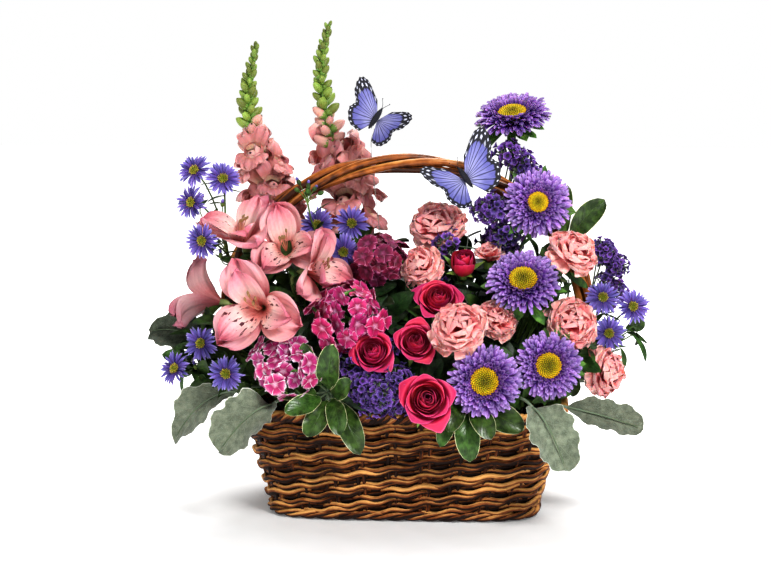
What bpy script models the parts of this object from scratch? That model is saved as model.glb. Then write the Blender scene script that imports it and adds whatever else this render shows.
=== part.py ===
"""A willow basket with a roped handle, filled with cut flowers in wet foam.

Frame: metres, +Z up. The origin is the centre of the basket's flat underside, +X runs along the
basket and -Y is its front. Every cut stem is one piece, from its cut end in the foam to its bloom.
"""

import math

import bmesh
import bpy
from mathutils import Vector

# Driving dimensions of the basket.
BASKET_LENGTH = 0.320
BASKET_WIDTH = 0.210
BASKET_HEIGHT = 0.106
BASE_LENGTH = 0.266
BASE_WIDTH = 0.160
BASE_THICKNESS = 0.008
WALL_THICKNESS = 0.007
RIM_RADIUS = 0.0065
CORNER_POWER = 5.0
RING_POINTS = 32
GAP = 0.0004
SHARP_ANGLE = math.radians(50)
SAME_PLACE = 1e-6

# The roped handle: four rods wound round one arch.
HANDLE_RODS = 4
ROD_RADIUS = 0.0039
ROD_PITCH_RADIUS = (2 * ROD_RADIUS + 0.0006) / math.sqrt(2)
HANDLE_HALF_SPAN = 0.178
HANDLE_SPRING_HEIGHT = 0.195
HANDLE_RISE = 0.148
HANDLE_TURNS = 3.0
HANDLE_POINTS = 18
HANDLE_FOOT_HEIGHT = 0.030
HANDLE_TOP_INSET = 0.0228
HANDLE_FOOT_INSET = 0.0185
HANDLE_SHOULDER_HEIGHT = 0.148
HANDLE_SHOULDER_SHIFT = 0.004
ARCH_STEPS = 12

# The liner and the foam that stand in the basket.
LINER_LENGTH = 0.236
LINER_WIDTH = 0.146
LINER_HEIGHT = 0.102
LINER_TAPER = 0.90
LINER_THICKNESS = 0.0015
FOAM_LENGTH = 0.200
FOAM_WIDTH = 0.118
FOAM_TOP = 0.128
FOAM_CORNER = 0.022
FOAM_CHAMFER = 0.005
FOAM_LIFT = 0.0022

# Cut stems.
STEM_RADIUS = 0.0013
THICK_STEM_RADIUS = 0.0019
WIRE_RADIUS = 0.0006
CUT_END_HEIGHT = 0.086
HOLE_CLEARANCE = 0.0005
HOLE_START = 0.004
STEM_STEPS = 6
# How far a stem runs straight on from its bloom and from the foam, as shares of its length, and how
# steeply it leaves the foam.
BLOOM_PULL = 0.22
FOAM_PULL = 0.45
FOAM_LEAN = 0.9
FOAM_RISE = 0.10
# How far out a stem stands in the foam, as a share of its bloom's distance from the middle: low
# blooms stand near the edge of the foam and tall ones near the middle.
FOOT_SHARE_LOW = 0.58
FOOT_SHARE_FALL = 0.80
FOOT_LOW_HEIGHT = 0.12
FOOT_LIMIT_X = 0.086
FOOT_LIMIT_Y = 0.046
LEAF_THICKNESS = 0.0014
# Thinner and thicker branches, as shares of a stem's radius.
BRANCH_SHARE = 0.85
TUFT_BRANCH_SHARE = 0.8
STALK_SHARE = 1.15

# Outlines of a bloom from under its calyx to its crown: (radius, height) as shares of its radius.
ASTER_PROFILE = ((0.12, -0.42), (0.34, -0.28), (0.90, -0.10), (1.00, 0.02), (0.44, 0.13), (0.34, 0.19))
ROSE_PROFILE = ((0.16, -0.95), (0.58, -0.62), (0.88, -0.10), (1.00, 0.18), (0.62, 0.30))
BUD_PROFILE = ((0.30, -1.05), (0.82, -0.60), (1.00, 0.00), (0.72, 0.75), (0.30, 1.05))
CARNATION_PROFILE = ((0.17, -1.15), (0.26, -0.55), (0.90, -0.22), (1.00, 0.08), (0.62, 0.42))
CLUSTER_PROFILE = ((0.14, -0.62), (0.70, -0.34), (1.00, 0.02), (0.82, 0.42), (0.40, 0.62))
TRUMPET_PROFILE = ((0.13, -1.15), (0.20, -0.80), (0.46, -0.36), (1.00, 0.06), (0.40, -0.02), (0.16, -0.20))
DAISY_PROFILE = ((0.20, -0.40), (0.94, -0.10), (1.00, 0.06), (0.38, 0.20))
FLORET_PROFILE = ((0.34, -0.90), (0.85, -0.45), (1.00, 0.15), (0.66, 0.72))

# Blooms: name, centre of the face, yaw and lift of the way it faces in degrees, radius.
# Yaw 0 faces the front, a positive yaw turns to +X, and lift is above the horizon.
ASTERS = (
    ("china_aster_1", (0.104, 0.030, 0.393), -12, 62, 0.034),
    ("china_aster_2", (0.130, -0.040, 0.309), 5, 15, 0.030),
    ("china_aster_3", (0.116, -0.082, 0.240), 0, 42, 0.032),
    ("china_aster_4", (0.141, -0.108, 0.161), 8, 12, 0.029),
    ("china_aster_5", (0.081, -0.135, 0.150), 0, 12, 0.031),
)
ROSES = (
    ("spray_rose_1", (-0.022, -0.123, 0.175), -5, 30, 0.020),
    ("spray_rose_2", (0.016, -0.112, 0.182), 5, 25, 0.018),
    ("spray_rose_3", (0.036, -0.086, 0.219), 8, 38, 0.018),
    ("spray_rose_4", (0.030, -0.146, 0.136), 5, 18, 0.026),
)
CARNATIONS = (
    ("carnation_1", (0.032, -0.022, 0.288), -5, 50, 0.023),
    ("carnation_2", (0.017, -0.064, 0.250), -25, 32, 0.0175),
    ("carnation_3", (0.056, -0.127, 0.201), -8, 30, 0.022),
    ("carnation_4", (0.092, -0.090, 0.203), 20, 30, 0.017),
    ("carnation_5", (0.164, -0.078, 0.198), 10, 25, 0.021),
    ("carnation_6", (0.166, -0.052, 0.265), 35, 45, 0.021),
    ("carnation_7", (0.200, -0.062, 0.146), 55, 5, 0.021),
)
CLUSTERS = (
    ("sweet_william_1", (-0.107, -0.120, 0.160), -8, 15, 0.030),
    ("sweet_william_2", (-0.052, -0.104, 0.206), -10, 35, 0.029),
    ("sweet_william_3", (-0.022, -0.044, 0.252), -15, 45, 0.020),
)
TRUMPETS = (
    ("alstroemeria_1", (-0.160, -0.048, 0.282), -25, 62, 0.029),
    ("alstroemeria_2", (-0.112, -0.066, 0.268), 5, 28, 0.028),
    ("alstroemeria_3", (-0.076, -0.078, 0.246), 62, 8, 0.025),
    ("alstroemeria_4", (-0.135, -0.122, 0.215), -12, 8, 0.032),
    ("alstroemeria_5", (-0.198, -0.046, 0.214), -105, 12, 0.028),
)
BUDS = (
    ("spray_rose_bud", (0.060, -0.062, 0.262), 5, 78, 0.0125),
    ("carnation_bud", (0.083, -0.036, 0.266), 0, 82, 0.0085),
)

# Sprays of small asters: name, where the stem forks, and for each head its centre, yaw and lift.
DAISY_RADIUS = 0.0165
DAISY_SPRAYS = (
    ("small_aster_spray_1", (-0.178, -0.024, 0.270), (
        ((-0.207, -0.032, 0.338), -20, 30),
        ((-0.178, -0.034, 0.330), 5, 25),
        ((-0.211, -0.030, 0.306), -30, 10),
        ((-0.193, -0.072, 0.272), -20, 5),
    )),
    ("small_aster_spray_2", (-0.066, -0.030, 0.230), (
        ((-0.086, -0.026, 0.284), -5, 20),
        ((-0.052, -0.024, 0.286), 8, 20),
        ((-0.058, -0.050, 0.260), 8, 5),
        ((-0.094, -0.040, 0.312), 0, 60),
    )),
    ("small_aster_spray_3", (-0.168, -0.068, 0.150), (
        ((-0.192, -0.094, 0.176), -20, 15),
        ((-0.164, -0.118, 0.151), -10, 5),
        ((-0.219, -0.088, 0.150), -35, 25),
    )),
    ("small_aster_spray_4", (0.186, -0.020, 0.160), (
        ((0.200, -0.044, 0.182), 15, 15),
        ((0.224, -0.026, 0.206), 20, 20),
        ((0.194, -0.034, 0.216), 10, 25),
    )),
)

# Statice: name, where the stem forks, the centres of its tufts, and their radius.
STATICE = (
    ("statice_1", (-0.010, -0.096, 0.136), (
        (-0.038, -0.126, 0.148),
        (-0.026, -0.138, 0.136),
        (-0.012, -0.140, 0.114),
        (-0.002, -0.132, 0.148),
    ), 0.011),
    ("statice_2", (0.084, 0.006, 0.256), (
        (0.081, -0.026, 0.304),
        (0.094, 0.026, 0.300),
        (0.098, -0.026, 0.276),
        (0.128, 0.062, 0.346),
    ), 0.012),
    ("statice_3", (0.186, 0.026, 0.212), (
        (0.191, 0.014, 0.256),
        (0.214, 0.024, 0.250),
        (0.206, 0.026, 0.224),
    ), 0.010),
    ("statice_4", (-0.030, 0.060, 0.170), (
        (-0.070, 0.092, 0.196),
        (-0.030, 0.104, 0.210),
        (0.020, 0.098, 0.200),
    ), 0.014),
)

# Snapdragons: name, axis from the foam to the tip, and radius of the open florets.
SNAPDRAGONS = (
    ("snapdragon_1", (
        (-0.052, 0.028, CUT_END_HEIGHT),
        (-0.098, 0.040, 0.200),
        (-0.140, 0.046, 0.300),
        (-0.160, 0.052, 0.365),
        (-0.165, 0.057, 0.410),
        (-0.157, 0.062, 0.462),
    ), 0.0175),
    ("snapdragon_2", (
        (-0.024, 0.036, CUT_END_HEIGHT),
        (-0.040, 0.045, 0.200),
        (-0.062, 0.052, 0.300),
        (-0.082, 0.058, 0.370),
        (-0.091, 0.062, 0.430),
        (-0.083, 0.066, 0.484),
    ), 0.0185),
)
FLORET_START = 0.52
FLORET_END = 0.97
FLORET_COUNT = 11
FLORET_TURN = math.radians(137.5)
BUD_SHRINK = 0.78
BUD_SHRINK_POWER = 0.7

# Leaves: name, foot of the blade, middle of its rib, its tip, the yaw and lift of the way its
# upper side faces, and the width across.
DUSTY_MILLER = (
    ("dusty_miller_1", (-0.178, -0.044, 0.156), (-0.215, -0.050, 0.190), (-0.252, -0.040, 0.178),
     -15, 25, 0.044),
    ("dusty_miller_2", (-0.160, -0.086, 0.128), (-0.196, -0.096, 0.128), (-0.222, -0.078, 0.076),
     -25, 20, 0.042),
    ("dusty_miller_3", (-0.120, -0.116, 0.122), (-0.138, -0.150, 0.126), (-0.168, -0.138, 0.080),
     -10, 30, 0.054),
    ("dusty_miller_4", (0.126, -0.124, 0.124), (0.140, -0.148, 0.120), (0.158, -0.134, 0.066),
     10, 25, 0.050),
    ("dusty_miller_5", (0.158, -0.080, 0.116), (0.194, -0.094, 0.112), (0.232, -0.082, 0.096),
     15, 30, 0.036),
    ("dusty_miller_6", (-0.030, 0.104, 0.132), (-0.036, 0.148, 0.140), (-0.044, 0.164, 0.086),
     175, 30, 0.060),
)
PITTOSPORUM = (
    ("pittosporum_1", (-0.068, -0.104, 0.130), -10, 20, (
        ((-0.066, -0.138, 0.152), (-0.060, -0.138, 0.184), 0.020),
        ((-0.084, -0.142, 0.128), (-0.104, -0.146, 0.120), 0.017),
        ((-0.070, -0.142, 0.120), (-0.084, -0.140, 0.096), 0.020),
        ((-0.046, -0.142, 0.116), (-0.034, -0.140, 0.080), 0.020),
    )),
    ("pittosporum_2", (0.064, -0.106, 0.124), 5, 20, (
        ((0.046, -0.138, 0.114), (0.040, -0.138, 0.088), 0.014),
        ((0.064, -0.142, 0.108), (0.068, -0.138, 0.074), 0.020),
        ((0.094, -0.132, 0.118), (0.118, -0.132, 0.104), 0.022),
    )),
    ("pittosporum_3", (0.158, 0.022, 0.252), 15, 15, (
        ((0.174, 0.016, 0.288), (0.197, 0.024, 0.306), 0.020),
        ((0.154, 0.020, 0.292), (0.160, 0.026, 0.320), 0.014),
    )),
)

# Butterflies: name, centre, the way the head points, the ways the left and right wings reach,
# length of a wing, and the wire's points from the butterfly to the foam.
BUTTERFLIES = (
    ("butterfly_1", (-0.028, 0.000, 0.386), (0.56, -0.10, 0.82), (-0.77, 0.10, 0.63),
     (0.62, -0.72, -0.30), 0.036,
     ((-0.032, 0.006, 0.376), (-0.036, 0.020, 0.350), (-0.024, 0.016, 0.240), (-0.010, 0.010, 0.088))),
    ("butterfly_2", (0.058, -0.032, 0.330), (-0.60, 0.08, 0.80), (-0.54, -0.76, -0.35),
     (0.78, 0.06, 0.62), 0.043,
     ((0.060, -0.026, 0.316), (0.064, -0.026, 0.290), (0.052, -0.020, 0.200), (0.030, -0.010, 0.088))),
)
WING_THICKNESS = 0.0007
WING_OUTLINE = (
    (-0.06, 0.10), (0.30, 0.42), (0.80, 0.72), (1.05, 0.66), (0.98, 0.30), (0.78, 0.05),
    (0.84, -0.20), (0.62, -0.52), (0.26, -0.58), (-0.06, -0.22),
)
BUTTERFLY_BODY_LENGTH = 0.024
BUTTERFLY_BODY_RADIUS = 0.0022
BUTTERFLY_BODY_LIFT = 0.0030
WING_GAP = 0.0009

# Material: colour, roughness, metallic.
FINISHES = {
    "willow": ((0.27, 0.13, 0.05), 0.45, 0.0),
    "willow_rod": ((0.42, 0.20, 0.07), 0.40, 0.0),
    "liner": ((0.03, 0.03, 0.03), 0.50, 0.0),
    "foam": ((0.10, 0.26, 0.10), 0.95, 0.0),
    "aster_purple": ((0.27, 0.14, 0.62), 0.60, 0.0),
    "daisy_violet": ((0.30, 0.25, 0.78), 0.60, 0.0),
    "rose_pink": ((0.82, 0.04, 0.20), 0.50, 0.0),
    "carnation_pink": ((0.95, 0.58, 0.60), 0.60, 0.0),
    "sweet_william": ((0.70, 0.08, 0.36), 0.60, 0.0),
    "alstroemeria_pink": ((0.93, 0.48, 0.50), 0.50, 0.0),
    "snapdragon_pink": ((0.86, 0.44, 0.52), 0.60, 0.0),
    "statice_purple": ((0.25, 0.15, 0.55), 0.70, 0.0),
    "silver_leaf": ((0.42, 0.50, 0.42), 0.85, 0.0),
    "edged_leaf": ((0.18, 0.34, 0.10), 0.45, 0.0),
    "wing": ((0.36, 0.36, 0.80), 0.60, 0.0),
    "butterfly_body": ((0.05, 0.06, 0.05), 0.70, 0.0),
    "wire": ((0.45, 0.45, 0.42), 0.35, 1.0),
}


def clear_scene():
    """Removes whatever the scene holds."""
    for thing in list(bpy.data.objects):
        bpy.data.objects.remove(thing)


def new_collection(name):
    """Returns a collection linked to the scene."""
    made = bpy.data.collections.new(name)
    bpy.context.scene.collection.children.link(made)
    return made


def finish(name):
    """Returns the Principled material of this name, made once."""
    found = bpy.data.materials.get(name)
    if found:
        return found
    colour, roughness, metallic = FINISHES[name]
    made = bpy.data.materials.new(name)
    made.use_nodes = True
    shader = made.node_tree.nodes["Principled BSDF"]
    shader.inputs["Base Color"].default_value = (*colour, 1.0)
    shader.inputs["Roughness"].default_value = roughness
    shader.inputs["Metallic"].default_value = metallic
    return made


def add_object(name, mesh, group):
    """Links a mesh into the scene as an object."""
    made = bpy.data.objects.new(name, mesh)
    group.objects.link(made)
    return made


def from_bmesh(name, built, group):
    """Turns a bmesh into an object, with its faces pointing out."""
    bmesh.ops.recalc_face_normals(built, faces=built.faces)
    mesh = bpy.data.meshes.new(name)
    built.to_mesh(mesh)
    built.free()
    mesh.shade_smooth()
    mesh.set_sharp_from_angle(angle=SHARP_ANGLE)
    return add_object(name, mesh, group)


def baked(thing, group):
    """Replaces an object by the mesh that its modifiers or its curve make, with its caps welded."""
    bpy.context.view_layer.update()
    graph = bpy.context.evaluated_depsgraph_get()
    mesh = bpy.data.meshes.new_from_object(thing.evaluated_get(graph))
    mesh.transform(thing.matrix_world)
    name = thing.name
    bpy.data.objects.remove(thing)
    built = bmesh.new()
    built.from_mesh(mesh)
    bmesh.ops.remove_doubles(built, verts=built.verts, dist=SAME_PLACE)
    bpy.data.meshes.remove(mesh)
    return from_bmesh(name, built, group)


def tube(name, points, radius, group, closed=False, resolution=1):
    """A rod of round section through these points, as a mesh."""
    line = bpy.data.curves.new(name, "CURVE")
    line.dimensions = "3D"
    line.bevel_depth = radius
    line.bevel_resolution = resolution
    line.use_fill_caps = True
    spline = line.splines.new("POLY")
    spline.points.add(len(points) - 1)
    for place, point in zip(spline.points, points):
        place.co = (*point, 1.0)
    spline.use_cyclic_u = closed
    return baked(add_object(name, line, group), group)


def bezier(start, start_pull, end_pull, end, steps):
    """Points along a cubic curve, both ends included."""
    points = []
    for step in range(steps + 1):
        t = step / steps
        s = 1.0 - t
        points.append(
            start * s**3 + start_pull * (3 * s * s * t) + end_pull * (3 * s * t * t) + end * t**3
        )
    return points


def smooth_points(controls, steps):
    """Points along a Catmull-Rom curve through the controls, with this many steps a span."""
    knots = [Vector(point) for point in controls]
    padded = [2 * knots[0] - knots[1], *knots, 2 * knots[-1] - knots[-2]]
    points = []
    for before, start, end, after in zip(padded, padded[1:], padded[2:], padded[3:]):
        points += bezier(start, start + (end - before) / 6, end - (after - start) / 6, end, steps)[:-1]
    return [*points, knots[-1]]


def unite(target, pieces):
    """Joins the pieces to the target with Boolean unions and removes them."""
    for piece in pieces:
        union = target.modifiers.new("union", "BOOLEAN")
        union.operation = "UNION"
        union.solver = "EXACT"
        union.object = piece
        bpy.context.view_layer.objects.active = target
        bpy.ops.object.modifier_apply(modifier=union.name)
        bpy.data.objects.remove(piece)
    return target


def facing(yaw, lift):
    """The unit vector of a way to face, from its yaw and lift in degrees."""
    turn = math.radians(yaw)
    rise = math.radians(lift)
    return Vector((math.sin(turn) * math.cos(rise), -math.cos(turn) * math.cos(rise), math.sin(rise)))


def head(name, centre, way, radius, profile, group, segments=10, lobes=0.0, lobe_rings=(2, 3)):
    """A bloom's solid: a sphere whose rings take the radii and heights of a profile.

    Every other point of the lobed rings is pulled in by the share that lobes gives.
    """
    built = bmesh.new()
    rings = len(profile)
    bmesh.ops.create_uvsphere(built, u_segments=segments, v_segments=rings + 1, radius=1.0)
    heights = [height for _, height in profile]
    poles = (heights[0] - 0.04, heights[-1] + 0.05)
    turned = way.to_track_quat("Z", "Y")
    for vertex in built.verts:
        level = round(math.acos(max(-1.0, min(1.0, -vertex.co.z))) / math.pi * (rings + 1))
        if level in (0, rings + 1):
            place = Vector((0, 0, poles[level > 0]))
        else:
            share, height = profile[level - 1]
            angle = math.atan2(vertex.co.y, vertex.co.x)
            step = round(angle / (2 * math.pi / segments))
            if step % 2 and level - 1 in lobe_rings:
                share *= 1.0 - lobes
            place = Vector((share * math.cos(angle), share * math.sin(angle), height))
        vertex.co = Vector(centre) + turned @ (place * radius)
    return from_bmesh(name, built, group)


def foot_of(centre):
    """Where a stem is cut off in the foam, under its bloom and nearer the middle."""
    share = FOOT_SHARE_LOW - FOOT_SHARE_FALL * max(0.0, centre[2] - FOOT_LOW_HEIGHT)
    x = FOOT_LIMIT_X * math.tanh(share * centre[0] / FOOT_LIMIT_X)
    y = FOOT_LIMIT_Y * math.tanh(share * centre[1] / FOOT_LIMIT_Y)
    return Vector((x, y, CUT_END_HEIGHT))


def stem_line(top, way):
    """Points of a cut stem from under its bloom to the foam: it leaves the foam almost upright."""
    top = Vector(top)
    foot = foot_of(top)
    reach = (top - foot).length
    rise = Vector((foot.x * FOAM_LEAN, foot.y * FOAM_LEAN, FOAM_RISE)).normalized()
    end_pull = foot + rise * (FOAM_PULL * reach)
    return bezier(top, top - way * (BLOOM_PULL * reach), end_pull, foot, STEM_STEPS)


def bore(name, line, radius, cutters):
    """Makes the tool that cuts a stem's hole in the foam, a little wider and deeper than the stem."""
    start = [p for p in line if p.z >= FOAM_TOP + HOLE_START][-1:] or [line[0]]
    inside = [p for p in line if p.z < FOAM_TOP + HOLE_START]
    deep = inside[-1] + (inside[-1] - (start + inside)[-2]).normalized() * HOLE_CLEARANCE
    tool = tube(name + "_hole", [*start, *inside[:-1], deep], radius + HOLE_CLEARANCE, cutters)
    tool.hide_render = True
    tool.display_type = "WIRE"


def branch_off(line, share):
    """The point of a stem this share of its first span down from its top."""
    return line[0].lerp(line[1], share)


def add_bloom(name, centre, yaw, lift, radius, profile, colour, groups, **shape):
    """A bloom and its stem as one solid."""
    group, cutters = groups
    way = facing(yaw, lift)
    calyx = profile[0][1] * radius
    line = stem_line(Vector(centre) + way * (calyx + 0.10 * radius), way)
    made = head(name, centre, way, radius, profile, group, **shape)
    unite(made, [tube(name + "_stem", line, THICK_STEM_RADIUS, group)])
    bore(name, line, THICK_STEM_RADIUS, cutters)
    made.data.materials.clear()
    made.data.materials.append(finish(colour))


def leaf_blade(name, ends, face, width, group, teeth=0.0, along=6):
    """A thin curved blade from foot to tip, made from a grid and given its thickness.

    The ends are the foot, the middle of the rib and the tip, and the upper side looks along face.
    """
    foot, middle, tip = (Vector(point) for point in ends)
    built = bmesh.new()
    bmesh.ops.create_grid(built, x_segments=along, y_segments=2, size=1.0)
    side = (tip - foot).cross(face).normalized()
    for vertex in built.verts:
        t = 0.5 + 0.5 * vertex.co.x
        rib = foot * (1 - t) ** 2 + middle * (2 * t * (1 - t)) + tip * t**2
        half = 0.5 * width * (0.16 + 0.84 * math.sin(math.pi * min(1.0, 0.12 + 0.86 * t)) ** 0.8)
        if round(t * along) % 2:
            half *= 1.0 - teeth
        vertex.co = rib + side * (half * vertex.co.y)
    blade = from_bmesh(name, built, group)
    shell = blade.modifiers.new("thickness", "SOLIDIFY")
    shell.thickness = LEAF_THICKNESS
    shell.offset = 0.0
    return baked(blade, group)


def ring_points(length, width, count, power=CORNER_POWER):
    """Points round a rectangle with round corners, as a superellipse."""
    points = []
    for step in range(count):
        angle = 2 * math.pi * step / count
        c, s = math.cos(angle), math.sin(angle)
        points.append(
            (
                0.5 * length * math.copysign(abs(c) ** (2 / power), c),
                0.5 * width * math.copysign(abs(s) ** (2 / power), s),
            )
        )
    return points


def wall_size(height):
    """Length and width of the basket's outside at this height."""
    share = height / BASKET_HEIGHT
    return (
        BASE_LENGTH + (BASKET_LENGTH - BASE_LENGTH) * share,
        BASE_WIDTH + (BASKET_WIDTH - BASE_WIDTH) * share,
    )


def skin_of_rings(rings):
    """An open skin through rings of points, raised ring by ring by extruding the last one's edges."""
    built = bmesh.new()
    order = bmesh.ops.create_circle(built, segments=len(rings[0]), radius=1.0)["verts"]
    for vertex, place in zip(order, rings[0]):
        vertex.co = Vector(place)
    edges = list(built.edges)
    for ring in rings[1:]:
        at = {vertex.co.copy().freeze(): index for index, vertex in enumerate(order)}
        raised = bmesh.ops.extrude_edge_only(built, edges=edges)["geom"]
        fresh = [item for item in raised if isinstance(item, bmesh.types.BMVert)]
        order = sorted(fresh, key=lambda vertex: at[vertex.co.copy().freeze()])
        for vertex, place in zip(order, ring):
            vertex.co = Vector(place)
        edges = [item for item in raised if isinstance(item, bmesh.types.BMEdge)]
    return built


def cap(built, height, count):
    """Closes a skin with a face over its innermost ring at this height."""
    flat = [vertex for vertex in built.verts if abs(vertex.co.z - height) < SAME_PLACE]
    inner = sorted(flat, key=lambda vertex: vertex.index)[:count]
    bmesh.ops.contextual_create(built, geom=inner)


def shelled(thing, thickness, group):
    """Gives a skin its thickness on the inside."""
    shell = thing.modifiers.new("thickness", "SOLIDIFY")
    shell.thickness = thickness
    shell.offset = -1.0
    return baked(thing, group)


def outline_at(length, width, height):
    """The points of a ring of this length and width at this height."""
    return [(x, y, height) for x, y in ring_points(length, width, RING_POINTS)]


def add_basket(group):
    """The base, the woven wall and its border."""
    rings = []
    for height, inset in ((0.0, 0.006), (0.002, 0.0), (BASE_THICKNESS, -0.003)):
        rings.append(outline_at(BASE_LENGTH - inset, BASE_WIDTH - inset, height))
    built = skin_of_rings(rings)
    built.verts.index_update()
    cap(built, 0.0, RING_POINTS)
    cap(built, BASE_THICKNESS, RING_POINTS)
    base = from_bmesh("basket_base", built, group)
    base.data.materials.append(finish("willow"))

    foot_height = BASE_THICKNESS + GAP
    top_height = BASKET_HEIGHT - RIM_RADIUS - 0.3 * WALL_THICKNESS - GAP
    rings = []
    for share in (0.0, 0.33, 0.67, 1.0):
        height = foot_height + (top_height - foot_height) * share
        rings.append(outline_at(*wall_size(height), height))
    wall = shelled(from_bmesh("basket_wall", skin_of_rings(rings), group), WALL_THICKNESS, group)
    wall.data.materials.append(finish("willow"))

    length, width = wall_size(BASKET_HEIGHT)
    line = outline_at(length - WALL_THICKNESS, width - WALL_THICKNESS, BASKET_HEIGHT)
    border = tube("basket_border", line, RIM_RADIUS, group, closed=True)
    border.data.materials.append(finish("willow_rod"))


def handle_centre(share):
    """The middle of the roped handle, with share 0 at its left foot and 1 at its right."""
    inner_top = 0.5 * BASKET_LENGTH - HANDLE_TOP_INSET
    inner_foot = 0.5 * wall_size(HANDLE_FOOT_HEIGHT)[0] - HANDLE_FOOT_INSET
    leg = [Vector((inner_foot, 0, HANDLE_FOOT_HEIGHT)), Vector((inner_top, 0, BASKET_HEIGHT))]
    shoulder = 0.5 * (inner_top + HANDLE_HALF_SPAN) + HANDLE_SHOULDER_SHIFT
    leg.append(Vector((shoulder, 0, HANDLE_SHOULDER_HEIGHT)))
    arch = []
    for step in range(ARCH_STEPS + 1):
        angle = 0.5 * math.pi * (1.0 - step / ARCH_STEPS)
        arch.append(
            Vector(
                (
                    HANDLE_HALF_SPAN * math.sin(math.pi / 2 - angle),
                    0,
                    HANDLE_SPRING_HEIGHT + HANDLE_RISE * math.cos(math.pi / 2 - angle),
                )
            )
        )
    right = [*leg, *reversed(arch)]
    left = [Vector((-p.x, 0, p.z)) for p in right]
    route = [*left, *reversed(right[:-1])]
    lengths = [0.0]
    for start, end in zip(route, route[1:]):
        lengths.append(lengths[-1] + (end - start).length)
    wanted = share * lengths[-1]
    for i in range(len(route) - 1):
        if wanted <= lengths[i + 1]:
            part = (wanted - lengths[i]) / (lengths[i + 1] - lengths[i])
            return route[i].lerp(route[i + 1], part)
    return route[-1]


def add_handle(group):
    """Four rods wound round each other along the arch, down inside the wall at both ends."""
    steps = 2 * HANDLE_POINTS
    for rod in range(HANDLE_RODS):
        points = []
        for step in range(steps + 1):
            share = step / steps
            centre = handle_centre(share)
            ahead = handle_centre(min(1.0, share + 0.01)) - handle_centre(max(0.0, share - 0.01))
            outward = ahead.normalized().cross(Vector((0, 1, 0)))
            turn = 2 * math.pi * (HANDLE_TURNS * share + rod / HANDLE_RODS)
            across = outward * math.cos(turn) + Vector((0, 1, 0)) * math.sin(turn)
            points.append(centre + across * ROD_PITCH_RADIUS)
        made = tube(f"handle_rod_{rod + 1}", points, ROD_RADIUS, group)
        made.data.materials.append(finish("willow_rod"))


def add_liner(group):
    """A thin tub that keeps the water in."""
    floor = BASE_THICKNESS + GAP
    rings = []
    for height, size in ((floor, 0.90), (floor, 0.97), (floor + 0.006, 1.0), (LINER_HEIGHT, 1.0)):
        grow = LINER_TAPER + (1 - LINER_TAPER) * (height - floor) / (LINER_HEIGHT - floor)
        rings.append(outline_at(LINER_LENGTH * grow * size, LINER_WIDTH * grow * size, height))
    built = skin_of_rings(rings)
    built.verts.index_update()
    cap(built, floor, RING_POINTS)
    liner = shelled(from_bmesh("liner", built, group), LINER_THICKNESS, group)
    liner.data.materials.append(finish("liner"))


def foam_block(group):
    """The block of wet foam, before its holes are made."""
    built = bmesh.new()
    bmesh.ops.create_cube(built, size=1.0)
    low = BASE_THICKNESS + LINER_THICKNESS + FOAM_LIFT
    for vertex in built.verts:
        vertex.co.x *= FOAM_LENGTH
        vertex.co.y *= FOAM_WIDTH
        vertex.co.z = low if vertex.co.z < 0 else FOAM_TOP
    corners = [e for e in built.edges if abs(e.verts[0].co.z - e.verts[1].co.z) > SAME_PLACE]
    bmesh.ops.bevel(built, geom=corners, offset=FOAM_CORNER, segments=2, profile=0.5, affect="EDGES")
    border = [e for e in built.edges if min(v.co.z for v in e.verts) > FOAM_TOP - SAME_PLACE]
    bmesh.ops.bevel(built, geom=border, offset=FOAM_CHAMFER, segments=1, affect="EDGES")
    return from_bmesh("wet_foam", built, group)


def add_sprays(group, cutters):
    """Sprays of small asters, each a forked stem with its heads."""
    for name, fork, heads in DAISY_SPRAYS:
        fork = Vector(fork)
        line = stem_line(fork, Vector((0, 0, 1)))
        made = tube(name, line, THICK_STEM_RADIUS, group)
        bore(name, line, THICK_STEM_RADIUS, cutters)
        pieces = []
        for index, (centre, yaw, lift) in enumerate(heads):
            way = facing(yaw, lift)
            back = Vector(centre) - way * (0.30 * DAISY_RADIUS)
            joint = branch_off(line, 0.10 + 0.22 * index)
            pull = (back - fork).length * 0.4
            branch = bezier(back, back - way * pull, joint + Vector((0, 0, pull * 0.5)), joint, 3)
            pieces.append(tube(f"branch_{index}", branch, STEM_RADIUS * BRANCH_SHARE, group))
            pieces.append(
                head(f"daisy_{index}", centre, way, DAISY_RADIUS, DAISY_PROFILE, group, 10, 0.16, (1, 2))
            )
        unite(made, pieces).data.materials.append(finish("daisy_violet"))


def add_statice(group, cutters):
    """Statice, each a forked stem with tufts of small flowers."""
    for name, fork, tufts, radius in STATICE:
        fork = Vector(fork)
        line = stem_line(fork, Vector((0, 0, 1)))
        made = tube(name, line, STEM_RADIUS, group)
        bore(name, line, STEM_RADIUS, cutters)
        pieces = []
        for index, centre in enumerate(tufts):
            centre = Vector(centre)
            way = (centre - fork).normalized()
            joint = branch_off(line, 0.08 + 0.2 * index)
            branch = [centre, centre.lerp(joint, 0.5) + Vector((0, 0, -0.003)), joint]
            pieces.append(tube(f"branch_{index}", branch, STEM_RADIUS * TUFT_BRANCH_SHARE, group))
            pieces.append(head(f"tuft_{index}", centre, way, radius, FLORET_PROFILE, group, 6))
        unite(made, pieces).data.materials.append(finish("statice_purple"))


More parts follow.
